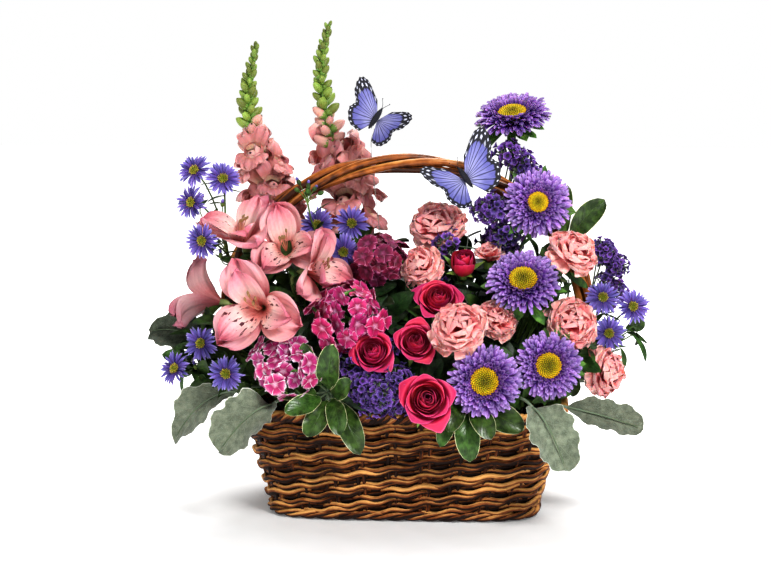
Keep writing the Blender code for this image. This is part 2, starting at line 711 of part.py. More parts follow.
def add_snapdragons(group, cutters):
    """Snapdragons: a spike whose florets shrink to buds at the tip."""
    for name, axis, radius in SNAPDRAGONS:
        line = smooth_points(axis, 3)
        made = tube(name, line, THICK_STEM_RADIUS, group)
        bore(name, line[::-1], THICK_STEM_RADIUS, cutters)
        pieces = []
        for index in range(FLORET_COUNT):
            share = index / (FLORET_COUNT - 1)
            along = (FLORET_START + (FLORET_END - FLORET_START) * share) * (len(line) - 1)
            low = int(along)
            place = line[low].lerp(line[low + 1], along - low)
            axis_way = (line[low + 1] - line[low]).normalized()
            turn = FLORET_TURN * index
            side = axis_way.cross(Vector((0, 1, 0))).normalized()
            out = side * math.cos(turn) + axis_way.cross(side) * math.sin(turn)
            way = (out + axis_way * (0.25 + 0.9 * share)).normalized()
            size = radius * (1.0 - BUD_SHRINK * share**BUD_SHRINK_POWER)
            centre = place + way * size * 0.95
            pieces.append(head(f"floret_{index}", centre, way, size, FLORET_PROFILE, group, 6))
        unite(made, pieces).data.materials.append(finish("snapdragon_pink"))


def add_leaves(group, cutters):
    """Dusty miller leaves on their stalks, and sprigs of edged leaves."""
    for name, foot, middle, tip, yaw, lift, width in DUSTY_MILLER:
        ends = (foot, middle, tip)
        blade = leaf_blade(name, ends, facing(yaw, lift), width, group, teeth=0.18, along=8)
        way = (Vector(middle) - Vector(foot)).normalized()
        line = stem_line(Vector(foot) + way * 0.006, Vector((way.x, way.y, 0.0)).normalized())
        unite(blade, [tube("stalk", line, STEM_RADIUS * STALK_SHARE, group)])
        bore(name, line, STEM_RADIUS * STALK_SHARE, cutters)
        blade.data.materials.append(finish("silver_leaf"))
    for name, fork, yaw, lift, leaves in PITTOSPORUM:
        fork = Vector(fork)
        way = (Vector(leaves[0][0]) - fork).normalized()
        line = stem_line(fork, Vector((way.x * 0.5, way.y, 0.2)).normalized())
        made = tube(name, line, STEM_RADIUS, group)
        bore(name, line, STEM_RADIUS, cutters)
        pieces = []
        for index, (middle, tip, width) in enumerate(leaves):
            start = fork.lerp(Vector(middle), 0.25)
            ends = (start, middle, tip)
            blade = leaf_blade(f"leaf_{index}", ends, facing(yaw, lift), width, group, along=5)
            reach = start.lerp(Vector(middle), 0.5)
            inner = fork - (start - fork) * 0.1
            pieces += [tube(f"stalk_{index}", [inner, start, reach], STEM_RADIUS, group), blade]
        unite(made, pieces).data.materials.append(finish("edged_leaf"))


def add_butterflies(group, cutters):
    """Two feather butterflies, each a body on a pair of wings on a wire."""
    for name, centre, head_way, left, right, reach, wire in BUTTERFLIES:
        centre = Vector(centre)
        ahead = Vector(head_way).normalized()
        wings = []
        normals = []
        for side, outward in (("left", Vector(left)), ("right", Vector(right))):
            outward = (outward - ahead * outward.dot(ahead)).normalized()
            normal = outward.cross(ahead) if side == "right" else ahead.cross(outward)
            normals.append(normal.normalized())
            outline = bpy.data.curves.new(name, "CURVE")
            outline.dimensions = "2D"
            outline.fill_mode = "BOTH"
            outline.extrude = 0.5 * WING_THICKNESS
            spline = outline.splines.new("POLY")
            spline.points.add(len(WING_OUTLINE) - 1)
            for place, (x, y) in zip(spline.points, WING_OUTLINE):
                place.co = (x * reach, y * reach, 0, 1)
            spline.use_cyclic_u = True
            wing = baked(add_object(f"{name}_{side}", outline, group), group)
            for vertex in wing.data.vertices:
                flat = vertex.co.copy()
                shift = WING_GAP * (side == "right")
                vertex.co = centre + outward * flat.x + ahead * (flat.y + shift) + normals[-1] * flat.z
            if outward.cross(ahead).dot(normals[-1]) < 0:
                wing.data.flip_normals()
            wings.append(wing)
        pair = unite(wings[0], wings[1:])
        pair.name = f"{name}_wings"
        pair.data.materials.append(finish("wing"))
        dorsal = (normals[0] + normals[1]).normalized()
        middle = centre + dorsal * (BUTTERFLY_BODY_RADIUS + BUTTERFLY_BODY_LIFT)
        share = 0.5 * BUTTERFLY_BODY_LENGTH
        slim = BUTTERFLY_BODY_RADIUS / share
        profile = ((0.6 * slim, -0.9), (slim, -0.3), (1.1 * slim, 0.3), (0.7 * slim, 0.85))
        body = head(f"{name}_body", middle, ahead, share, profile, group, 8)
        body.data.materials.append(finish("butterfly_body"))
        line = smooth_points(wire, 3)
        made = tube(f"{name}_wire", line, WIRE_RADIUS, group)
        bore(f"{name}_wire", line, WIRE_RADIUS, cutters)
        made.data.materials.append(finish("wire"))


def add_blooms(groups):
    """Every bloom that stands alone on its stem."""
    for row in ASTERS:
        add_bloom(*row, ASTER_PROFILE, "aster_purple", groups, segments=16, lobes=0.14)
    for row in ROSES:
        add_bloom(*row, ROSE_PROFILE, "rose_pink", groups, segments=10, lobes=0.10, lobe_rings=(3,))
    for row in CARNATIONS:
        add_bloom(*row, CARNATION_PROFILE, "carnation_pink", groups, segments=12, lobes=0.12)
    for row in CLUSTERS:
        add_bloom(*row, CLUSTER_PROFILE, "sweet_william", groups, segments=12, lobes=0.10)
    for row in TRUMPETS:
        add_bloom(
            *row, TRUMPET_PROFILE, "alstroemeria_pink", groups, segments=12, lobes=0.34, lobe_rings=(3,)
        )
    for row, colour in zip(BUDS, ("rose_pink", "carnation_pink")):
        add_bloom(*row, BUD_PROFILE, colour, groups, segments=8)


def main():
    """Builds the whole arrangement."""
    clear_scene()
    group = new_collection("flower_basket_arrangement")
    cutters = new_collection("cutters")
    add_basket(group)
    add_handle(group)
    add_liner(group)
    foam = foam_block(group)
    foam.data.materials.append(finish("foam"))
    add_blooms((group, cutters))
    add_sprays(group, cutters)
    add_statice(group, cutters)
    add_snapdragons(group, cutters)
    add_leaves(group, cutters)
    add_butterflies(group, cutters)
    for tool in cutters.objects:
        cut = foam.modifiers.new(tool.name, "BOOLEAN")
        cut.operation = "DIFFERENCE"
        cut.solver = "EXACT"
        cut.object = tool


main()
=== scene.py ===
"""Dresses the flower basket: the woven willow, the cut flowers, the leaves and the butterflies.

Everything is in metres in the frame's own axes: +X along the basket, -Y its front, +Z up. Places
come from the frame's nodes. Every bloom is made of petals, each petal a small grid of points.
"""

import logging
import math
from dataclasses import dataclass
from enum import Enum

import bpy
import numpy as np
from mathutils import Matrix, Vector


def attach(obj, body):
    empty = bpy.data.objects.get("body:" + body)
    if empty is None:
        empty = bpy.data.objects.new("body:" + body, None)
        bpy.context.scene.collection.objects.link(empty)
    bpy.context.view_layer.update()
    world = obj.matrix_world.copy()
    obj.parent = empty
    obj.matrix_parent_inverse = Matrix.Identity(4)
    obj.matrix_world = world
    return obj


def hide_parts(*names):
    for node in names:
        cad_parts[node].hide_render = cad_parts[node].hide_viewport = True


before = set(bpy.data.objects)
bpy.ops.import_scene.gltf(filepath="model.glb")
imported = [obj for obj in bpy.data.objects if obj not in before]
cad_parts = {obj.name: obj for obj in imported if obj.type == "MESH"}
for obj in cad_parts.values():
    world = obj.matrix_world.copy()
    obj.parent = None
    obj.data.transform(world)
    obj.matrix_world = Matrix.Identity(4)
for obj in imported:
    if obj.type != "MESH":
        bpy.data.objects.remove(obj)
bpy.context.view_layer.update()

LOG = logging.getLogger("flower_basket")
BODY = "root"
GOLDEN_TURN = math.pi * (3.0 - math.sqrt(5.0))

Colour = tuple[float, float, float]
Place = tuple[float, float, float]
Grid = np.ndarray


def hue(code: str) -> Colour:
    """Turns a six-figure colour code into linear red, green and blue."""
    parts = [int(code[i : i + 2], 16) / 255 for i in (0, 2, 4)]
    return tuple(v / 12.92 if v <= 0.04045 else ((v + 0.055) / 1.055) ** 2.4 for v in parts)


def facing(yaw: float, lift: float) -> Vector:
    """The unit vector of a yaw, 0 at the front and positive to the right, and a lift, in degrees."""
    turn, rise = math.radians(yaw), math.radians(lift)
    return Vector((math.sin(turn) * math.cos(rise), -math.cos(turn) * math.cos(rise), math.sin(rise)))


def stand(place: Vector, way: Vector, spin: float = 0.0) -> np.ndarray:
    """A 4x4 matrix that puts a part's origin at a place, with its +Z along way.

    Args:
        place: where the origin goes.
        way: the direction its +Z turns to.
        spin: how far it is turned about its own +Z, in radians.

    Returns:
        The matrix. At spin 0, local +X is the direction nearest to straight up.
    """
    z = Vector(way).normalized()
    x = Vector((0, 0, 1)) - z * z.z
    if x.length < 0.05:
        x = Vector((0, 1, 0)) - z * z.y
    x.normalize()
    y = z.cross(x)
    turned = Matrix((x, y, z)).transposed() @ Matrix.Rotation(spin, 3, "Z")
    made = np.eye(4)
    made[:3, :3] = np.array(turned)
    made[:3, 3] = place
    return made


def moved(points: Grid, matrix: np.ndarray) -> Grid:
    """The points of a grid after a 4x4 matrix."""
    return points @ matrix[:3, :3].T + matrix[:3, 3]


def turned(points: Grid, angle: float) -> Grid:
    """The points of a grid turned about +Z."""
    c, s = math.cos(angle), math.sin(angle)
    return points @ np.array(((c, s, 0.0), (-s, c, 0.0), (0.0, 0.0, 1.0)))


def curve(controls: list, steps: int) -> Grid:
    """Points along a smooth curve through the controls, both ends included."""
    knots = np.array([tuple(c) for c in controls], dtype=float)
    padded = np.vstack((2 * knots[0] - knots[1], knots, 2 * knots[-1] - knots[-2]))
    t = np.linspace(0.0, 1.0, steps, endpoint=False)[:, None]
    spans = []
    for a, b, c, d in zip(padded, padded[1:], padded[2:], padded[3:]):
        cubic = (3 * b - a - 3 * c + d) * t**3
        spans.append(0.5 * (2 * b + (c - a) * t + (2 * a - 5 * b + 4 * c - d) * t**2 + cubic))
    return np.vstack((*spans, knots[-1:]))


def tube(path: Grid, radius: float | Grid, sides: int = 8, loop: bool = False) -> Grid:
    """The skin of a rod along a path.

    Args:
        path: the points of its centre line.
        radius: its radius, one number or one for each point.
        sides: how many points go round it.
        loop: whether the path closes on itself.

    Returns:
        A grid with one row for each point of the path.
    """
    path = np.asarray(path, dtype=float)
    if loop:
        ahead = np.roll(path, -1, axis=0) - np.roll(path, 1, axis=0)
    else:
        ahead = np.gradient(path, axis=0)
    ahead /= np.linalg.norm(ahead, axis=1)[:, None] + 1e-12
    side = np.cross(ahead[0], (0.0, 0.0, 1.0))
    if np.linalg.norm(side) < 0.1:
        side = np.cross(ahead[0], (0.0, 1.0, 0.0))
    sides_at = []
    for way in ahead:
        side = side - way * side.dot(way)
        side /= np.linalg.norm(side)
        sides_at.append(side)
    first = np.array(sides_at)
    second = np.cross(ahead, first)
    turn = np.linspace(0.0, 2 * math.pi, sides, endpoint=False)
    ring = first[:, None] * np.cos(turn)[None, :, None] + second[:, None] * np.sin(turn)[None, :, None]
    size = np.broadcast_to(np.asarray(radius, dtype=float), (len(path),))
    return path[:, None] + ring * size[:, None, None]


def rod(path: Grid, radius: float | Grid, sides: int = 8) -> Grid:
    """The skin of a rod with rounded ends."""
    path = np.asarray(path, dtype=float)
    size = np.array(np.broadcast_to(radius, (len(path),)), dtype=float)
    ends = (path[0] - (path[1] - path[0]) * 1e-3, path[-1] + (path[-1] - path[-2]) * 1e-3)
    path = np.vstack((ends[0], path, ends[1]))
    size = np.concatenate(([size[0] * 0.05], size, [size[-1] * 0.05]))
    return tube(path, size, sides)


def knobs(node: str, radius: float, count: int = 1) -> list[Vector]:
    """Finds the thick ends of a node, such as the blooms on a stem.

    Args:
        node: the frame's node.
        radius: the radius of each thick end.
        count: how many there are.

    Returns:
        Their centres, from left to right.
    """
    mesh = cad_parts[node].data
    centres = np.empty(len(mesh.polygons) * 3)
    areas = np.empty(len(mesh.polygons))
    mesh.polygons.foreach_get("center", centres)
    mesh.polygons.foreach_get("area", areas)
    centres = centres.reshape(-1, 3)
    found = []
    for _ in range(count):
        apart = np.linalg.norm(centres[:, None] - centres[None], axis=2)
        middle = centres[np.argmax((apart < radius) @ areas)]
        for _ in range(12):
            near = np.linalg.norm(centres - middle, axis=1) < 1.05 * radius
            middle = (centres[near] * areas[near, None]).sum(axis=0) / areas[near].sum()
        found.append(Vector(middle))
        far = np.linalg.norm(centres - middle, axis=1) > 1.1 * radius
        centres, areas = centres[far], areas[far]
    return sorted(found, key=lambda place: place.x)


class Graph:
    """A material's nodes, with short ways to add and join them."""

    def __init__(self, name: str) -> None:
        """Starts a material with one Principled shader."""
        self.material = bpy.data.materials.new(name)
        self.material.use_nodes = True
        self.tree = self.material.node_tree
        self.shader = self.tree.nodes["Principled BSDF"]
        self._place: list | None = None

    def node(self, kind: str, inputs: dict | None = None, **settings: object) -> bpy.types.Node:
        """Adds a node, with its settings, and its inputs by name or number."""
        made = self.tree.nodes.new(kind)
        for name, value in settings.items():
            setattr(made, name, value)
        for key, value in (inputs or {}).items():
            self.put(made.inputs[key], value)
        return made

    def put(self, socket: bpy.types.NodeSocket, value: object) -> None:
        """Links a socket to another, or sets its value."""
        if isinstance(value, bpy.types.NodeSocket):
            self.tree.links.new(value, socket)
        elif isinstance(value, tuple) and len(value) == 3 and socket.type == "RGBA":
            socket.default_value = (*value, 1.0)
        else:
            socket.default_value = value

    def place(self) -> list:
        """Where a point is on its petal: along, across, the petal's tint and its rank."""
        if self._place is None:
            read = self.node("ShaderNodeAttribute", attribute_name="place")
            parts = self.node("ShaderNodeSeparateColor", {"Color": read.outputs["Color"]})
            self._place = [*parts.outputs, read.outputs["Alpha"]]
        return self._place

    def math(self, operation: str, first: object, second: object = 0.0,
             third: object = 0.0) -> bpy.types.NodeSocket:
        """The result of a Math node."""
        return self.node("ShaderNodeMath", {0: first, 1: second, 2: third}, operation=operation).outputs[0]

    def about(self, value: object, spread: float, middle: object) -> bpy.types.NodeSocket:
        """A middle moved up or down by a value from 0 to 1, over a spread."""
        return self.math("ADD", middle, self.math("MULTIPLY_ADD", value, spread, -0.5 * spread))

    def lines(self, across: float, along: float, tint: float, detail: float = 2.0) -> bpy.types.NodeSocket:
        """Noise drawn out along a petal: features across it, features along it, and how far petals differ."""
        place = self.place()
        scaled = [self.math("MULTIPLY", value, scale) for value, scale in zip(place, (along, across, tint))]
        return self.noise(1.0, detail, self.vector(scaled[1], scaled[0], scaled[2]))

    def vector(self, x: object, y: object, z: object) -> bpy.types.NodeSocket:
        """A vector from three values."""
        return self.node("ShaderNodeCombineXYZ", {0: x, 1: y, 2: z}).outputs[0]

    def position(self) -> bpy.types.NodeSocket:
        """The point's place in the frame, in metres."""
        return self.node("ShaderNodeTexCoord").outputs["Object"]

    def noise(self, scale: float, detail: float = 3.0, at: object = None) -> bpy.types.NodeSocket:
        """A noise value from 0 to 1."""
        inputs = {"Vector": at or self.position(), "Scale": scale, "Detail": detail}
        return self.node("ShaderNodeTexNoise", inputs).outputs[0]

    def ramp(self, factor: object, stops: tuple) -> bpy.types.NodeSocket:
        """The colour of a ramp with these (position, colour) stops."""
        made = self.node("ShaderNodeValToRGB", {"Fac": factor})
        elements = made.color_ramp.elements
        while len(elements) < len(stops):
            elements.new(0.5)
        for element, (position, colour) in zip(elements, stops):
            element.position = position
            element.color = (*colour, 1.0)
        return made.outputs[0]

    def step(self, value: object, low: float, high: float) -> bpy.types.NodeSocket:
        """0 below low and 1 above high, smooth between them."""
        inputs = {"Value": value, "From Min": low, "From Max": high}
        return self.node("ShaderNodeMapRange", inputs, interpolation_type="SMOOTHSTEP").outputs[0]

    def mix(self, factor: object, first: object, second: object,
            blend: str = "MIX") -> bpy.types.NodeSocket:
        """The mix of two colours."""
        made = self.node("ShaderNodeMix", data_type="RGBA", blend_type=blend)
        self.put(made.inputs[0], factor)
        self.put(made.inputs[6], first)
        self.put(made.inputs[7], second)
        return made.outputs[2]

    def vary(self, colour: object, tint: object, light: float, turn: float = 0.0) -> bpy.types.NodeSocket:
        """A colour whose lightness and hue move with a tint from 0 to 1."""
        inputs = {"Hue": self.about(tint, 2 * turn, 0.5), "Value": self.about(tint, 2 * light, 1.0),
                  "Color": colour}
        return self.node("ShaderNodeHueSaturation", inputs).outputs[0]

    def relief(self, height: object, distance: float, strength: float = 0.6) -> bpy.types.NodeSocket:
        """A normal bent by a height."""
        inputs = {"Height": height, "Distance": distance, "Strength": strength}
        return self.node("ShaderNodeBump", inputs).outputs[0]

    def done(self, colour: object, roughness: object, normal: object = None,
             **constants: float) -> bpy.types.Material:
        """Joins the shader's inputs and returns the material."""
        self.put(self.shader.inputs["Base Color"], colour)
        self.put(self.shader.inputs["Roughness"], roughness)
        if normal is not None:
            self.put(self.shader.inputs["Normal"], normal)
        for name, value in constants.items():
            self.shader.inputs[name.replace("_", " ")].default_value = value
        return self.material


@dataclass(frozen=True)
class Finish:
    """A finish that is made into a material once.

    Args:
        name: the material's name.
    """

    name: str

    def material(self) -> bpy.types.Material:
        """The finish's material, made the first time it is asked for."""
        return bpy.data.materials.get(self.name) or self.build()

    def build(self) -> bpy.types.Material:
        """Makes the material."""
        raise NotImplementedError


@dataclass(frozen=True)
class PetalFinish(Finish):
    """Soft petals whose colour runs from root to tip.

    Args:
        stops: the colours from root to tip.
        rim: the colour of the petal's very edge, if it has one.
        rim_width: how wide the edge is, as a share of the petal.
        light: how far lightness differs from petal to petal.
        turn: how far hue differs from petal to petal.
        streaks: how strong the fine lines along the petal are.
        fine: how many streaks there are across a petal.
        roughness: the roughness.
        depth: how deep the streaks are, in metres.
        flecks: the colour of dark flecks near the throat, if it has them.
        glow: how much light comes through.
        depth_shade: how far low-rank inner petals lag along the colours, towards the root: painted shade.
    """

    stops: tuple[tuple[float, Colour], ...] = ()
    rim: Colour | None = None
    rim_width: float = 0.12
    light: float = 0.12
    turn: float = 0.008
    streaks: float = 0.25
    fine: float = 14.0
    roughness: float = 0.55
    depth: float = 0.0004
    flecks: Colour | None = None
    glow: float = 0.12
    depth_shade: float = 0.0

    def build(self) -> bpy.types.Material:
        """Makes the material."""
        g = Graph(self.name)
        along, across, tint, rank = g.place()
        lines = g.lines(self.fine, 1.6, 37.0)
        mottle = g.noise(420.0, 3.0)
        # Inner petals of low rank take the darker root colours: painted shade deep in the bloom.
        colour = g.ramp(g.about(rank, self.depth_shade, g.about(mottle, 0.22, along)), self.stops)
        if self.rim is not None:
            aside = g.math("ABSOLUTE", g.math("MULTIPLY_ADD", across, 2.0, -1.0))
            edge = g.about(mottle, self.rim_width, g.math("MAXIMUM", aside, along))
            colour = g.mix(g.step(edge, 1.0 - 1.4 * self.rim_width, 1.0 - 0.5 * self.rim_width), colour,
                           self.rim)
        shade = g.ramp(lines, ((0.30, (1.0 - self.streaks,) * 3), (0.62, (1.0, 1.0, 1.0))))
        colour = g.mix(1.0, colour, shade, "MULTIPLY")
        if self.flecks is not None:
            spot = g.step(g.lines(13.0, 7.0, 23.0, 1.0), 0.62, 0.66)
            near = g.step(g.math("ABSOLUTE", g.math("SUBTRACT", along, 0.50)), 0.32, 0.16)
            here = g.math("MULTIPLY", g.math("MULTIPLY", spot, near), g.step(rank, 0.5, 0.6))
            colour = g.mix(here, colour, self.flecks)
        colour = g.vary(colour, tint, self.light, self.turn)
        height = g.math("ADD", lines, g.math("MULTIPLY", mottle, 0.4))
        constants = {"Subsurface_Weight": self.glow, "Subsurface_Scale": 0.004, "Sheen_Weight": 0.03}
        return g.done(colour, self.roughness, g.relief(height, self.depth), **constants)


@dataclass(frozen=True)
class BeadFinish(Finish):
    """The yellow middle of a daisy, darker in its centre.

    Args:
        stops: the colours from the centre out.
        roughness: the roughness.
    """

    stops: tuple[tuple[float, Colour], ...] = ()
    roughness: float = 0.6

    def build(self) -> bpy.types.Material:
        """Makes the material."""
        g = Graph(self.name)
        along, _, tint, rank = g.place()
        grain = g.noise(900.0, 2.0)
        colour = g.ramp(g.about(grain, 0.3, rank), self.stops)
        shade = g.ramp(along, ((0.0, (0.55, 0.5, 0.4)), (0.6, (1.0, 1.0, 1.0))))
        colour = g.vary(g.mix(1.0, colour, shade, "MULTIPLY"), tint, 0.14, 0.01)
        return g.done(colour, self.roughness, g.relief(grain, 0.0004), Subsurface_Weight=0.08,
                      Subsurface_Scale=0.002)


@dataclass(frozen=True)
class LeafFinish(Finish):
    """A leaf with a midrib and side veins.

    Args:
        dark: its colour between the veins.
        pale: its colour along the veins and in the paler patches of its mottle.
        rim: the colour of its margin, if it differs.
        rim_width: how wide the margin is, as a share of the leaf.
        felt: 0 for a glossy leaf and 1 for a woolly one.
        veins: how many side veins there are.
        vein_light: how much lighter the veins are.
        roughness: the roughness.
    """

    dark: Colour = (0.02, 0.05, 0.01)
    pale: Colour = (0.08, 0.16, 0.03)
    rim: Colour | None = None
    rim_width: float = 0.12
    felt: float = 0.0
    veins: float = 7.0
    vein_light: float = 0.5
    roughness: float = 0.42

    def build(self) -> bpy.types.Material:
        """Makes the material."""
        g = Graph(self.name)
        along, across, tint, _ = g.place()
        aside = g.math("ABSOLUTE", g.math("MULTIPLY_ADD", across, 2.0, -1.0))
        mottle = g.noise(160.0, 4.0)
        fine = g.noise(1400.0 if self.felt else 700.0, 3.0)
        slant = g.math("MULTIPLY_ADD", aside, -0.35 * self.veins, g.math("MULTIPLY", along, self.veins))
        slant = g.math("MULTIPLY_ADD", mottle, 0.6, slant)
        side = g.math("ABSOLUTE", g.math("SUBTRACT", g.math("FRACT", slant), 0.5))
        side = g.step(side, 0.10, 0.0)
        rib = g.step(aside, 0.07, 0.01)
        vein = g.math("MAXIMUM", g.math("MULTIPLY", side, 0.7), rib)
        colour = g.mix(g.step(mottle, 0.3, 0.75), self.dark, self.pale)
        colour = g.mix(g.math("MULTIPLY", vein, self.vein_light), colour, self.pale)
        if self.rim is not None:
            edge = g.about(mottle, 1.6 * self.rim_width,
                           g.math("MAXIMUM", aside, g.math("SUBTRACT", along, 0.03)))
            colour = g.mix(g.step(edge, 1.0 - 1.1 * self.rim_width, 1.0 - 0.7 * self.rim_width), colour,
                           self.rim)
        colour = g.vary(colour, tint, 0.22, 0.012)
        if self.felt:
            colour = g.mix(g.math("MULTIPLY", g.step(fine, 0.45, 0.7), 0.35 * self.felt), colour,
                           (0.62, 0.68, 0.62))
        height = g.math("SUBTRACT", g.math("MULTIPLY", fine, 0.25 + self.felt),
                        g.math("MULTIPLY", vein, 1.2))
        constants = {"Subsurface_Weight": 0.06, "Subsurface_Scale": 0.003, "Sheen_Weight": 0.4 * self.felt}
        return g.done(colour, self.roughness, g.relief(height, 0.0006), **constants)


@dataclass(frozen=True)
class StemFinish(Finish):
    """A green stem, or a bud, with lines along it.

    Args:
        low: its colour at the start of the piece.
        high: its colour at the end of the piece.
        light: how far lightness differs from piece to piece.
        roughness: the roughness.
    """

    low: Colour = (0.05, 0.12, 0.02)
    high: Colour = (0.15, 0.28, 0.05)
    light: float = 0.2
    roughness: float = 0.5

    def build(self) -> bpy.types.Material:
        """Makes the material."""
        g = Graph(self.name)
        along, across, tint, _ = g.place()
        lines = g.lines(9.0, 3.0, 31.0)
        colour = g.mix(g.about(lines, 0.5, along), self.low, self.high)
        colour = g.vary(colour, tint, self.light, 0.015)
        constants = {"Subsurface_Weight": 0.08, "Subsurface_Scale": 0.002}
        return g.done(colour, self.roughness, g.relief(lines, 0.0003), **constants)


@dataclass(frozen=True)
class WillowFinish(Finish):
    """Stained willow, streaked and pitted: painted light on upper sides, painted shade on set-back rods.

    Args:
        dark: the stain in the grain.
        mid: the usual colour.
        gold: where the stain is thin, and where the painted light on upper sides lifts the colour.
        roughness: the roughness.
        gloss: the weight of the varnish.
        painted_top_light: how much paler the upper sides are, as painted light from above.
    """

    dark: Colour = (0.02, 0.008, 0.003)
    mid: Colour = (0.12, 0.045, 0.014)
    gold: Colour = (0.50, 0.24, 0.07)
    roughness: float = 0.38
    gloss: float = 0.35
    painted_top_light: float = 0.16

    def build(self) -> bpy.types.Material:
        """Makes the material."""
        g = Graph(self.name)
        _, _, tint, rank = g.place()
        grain = g.lines(6.0, 2.2, 53.0, 4.0)
        patch = g.noise(90.0, 3.0)
        bark = g.noise(700.0, 3.0)
        amount = g.math("MULTIPLY_ADD", grain, 0.62, g.math("MULTIPLY", patch, 0.42))
        # Rank moves the colour too: random tone on most rods, and painted shade on the wall's set-back rods,
        # which have rank 0.
        amount = g.about(rank, 0.22, g.about(tint, 0.30, amount))
        # Surfaces facing up are made paler, towards gold: painted light from above.
        up = g.node("ShaderNodeSeparateXYZ",
                    {"Vector": g.node("ShaderNodeNewGeometry").outputs["Normal"]}).outputs["Z"]
        amount = g.math("MULTIPLY_ADD", up, self.painted_top_light, amount)
        colour = g.ramp(amount, ((0.40, self.dark), (0.58, self.mid), (0.80, self.gold)))
        pits = g.step(bark, 0.66, 0.74)
        colour = g.mix(g.math("MULTIPLY", pits, 0.6), colour, self.dark)
        height = g.math("MULTIPLY_ADD", bark, 0.35, grain)
        rough = g.about(grain, 0.24, self.roughness)
        return g.done(colour, rough, g.relief(height, 0.0007), Coat_Weight=self.gloss, Coat_Roughness=0.3,
                      Specular_IOR_Level=0.3)


@dataclass(frozen=True)
class PlainFinish(Finish):
    """An even material with some grain in it.

    Args:
        dark: its darker colour.
        pale: its lighter colour.
        scale: how fine the grain is, as features in a metre.
        depth: how deep the grain is, in metres.
        roughness: the roughness.
        metallic: 1 for metal.
    """

    dark: Colour = (0.02, 0.02, 0.02)
    pale: Colour = (0.05, 0.05, 0.05)
    scale: float = 400.0
    depth: float = 0.0004
    roughness: float = 0.6
    metallic: float = 0.0

    def build(self) -> bpy.types.Material:
        """Makes the material."""
        g = Graph(self.name)
        grain = g.noise(self.scale, 4.0)
        colour = g.mix(g.step(grain, 0.3, 0.7), self.dark, self.pale)
        rough = g.about(grain, 0.15, self.roughness)
        return g.done(colour, rough, g.relief(grain, self.depth), Metallic=self.metallic)


@dataclass(frozen=True)
class WingFinish(Finish):
    """A painted feather wing: blue cells between dark veins, and a dark margin with pale spots.

    Args:
        pale: the cells near the body.
        deep: the cells further out.
        ink: the veins and the margin.
        cells: how many veins fan out.
        spots: how many pairs of spots the margin has.
    """

    pale: Colour = hue("b2b2e0")
    deep: Colour = hue("6464ac")
    ink: Colour = hue("0e0e1c")
    cells: float = 12.0
    spots: float = 17.0

    def build(self) -> bpy.types.Material:
        """Makes the material."""
        g = Graph(self.name)
        along, across, tint, _ = g.place()
        barbs = g.lines(60.0, 4.0, 1.0)
        colour = g.mix(g.step(g.about(barbs, 0.8, along), 0.0, 0.9), self.pale, self.deep)
        cell = self._between(g, across, self.cells)
        vein = g.step(g.math("MULTIPLY", g.math("SUBTRACT", 0.5, cell), g.math("ADD", along, 0.12)), 0.10,
                      0.03)
        colour = g.mix(g.math("MULTIPLY", vein, 0.9), colour, hue("1c1c4c"))
        fore = g.step(across, 0.46, 0.30)
        margin = g.step(g.math("MULTIPLY_ADD", fore, 0.12, g.math("MULTIPLY_ADD", vein, 0.08, along)),
                        0.82, 0.87)
        colour = g.mix(margin, colour, self.ink)
        dot = self._between(g, across, self.spots)
        ring = g.math("ABSOLUTE", g.math("SUBTRACT", along, 0.945))
        spot = g.math("MULTIPLY", g.step(dot, 0.20, 0.10), g.step(ring, 0.026, 0.012))
        near = g.step(g.math("ABSOLUTE", g.math("SUBTRACT", along, 0.82)), 0.05, 0.02)
        patch = g.math("MULTIPLY", g.step(cell, 0.26, 0.14), near)
        spot = g.math("MAXIMUM", spot, g.math("MULTIPLY", patch, fore))
        colour = g.mix(spot, colour, (0.72, 0.74, 0.88))
        return g.done(colour, 0.55, g.relief(barbs, 0.0003), Sheen_Weight=0.2)

    def _between(self, g: Graph, across: object, count: float) -> bpy.types.NodeSocket:
        """How far a point is from the middle of its cell, 0 to 0.5, with a count of cells across."""
        part = g.math("FRACT", g.math("MULTIPLY", across, count))
        return g.math("ABSOLUTE", g.math("SUBTRACT", part, 0.5))


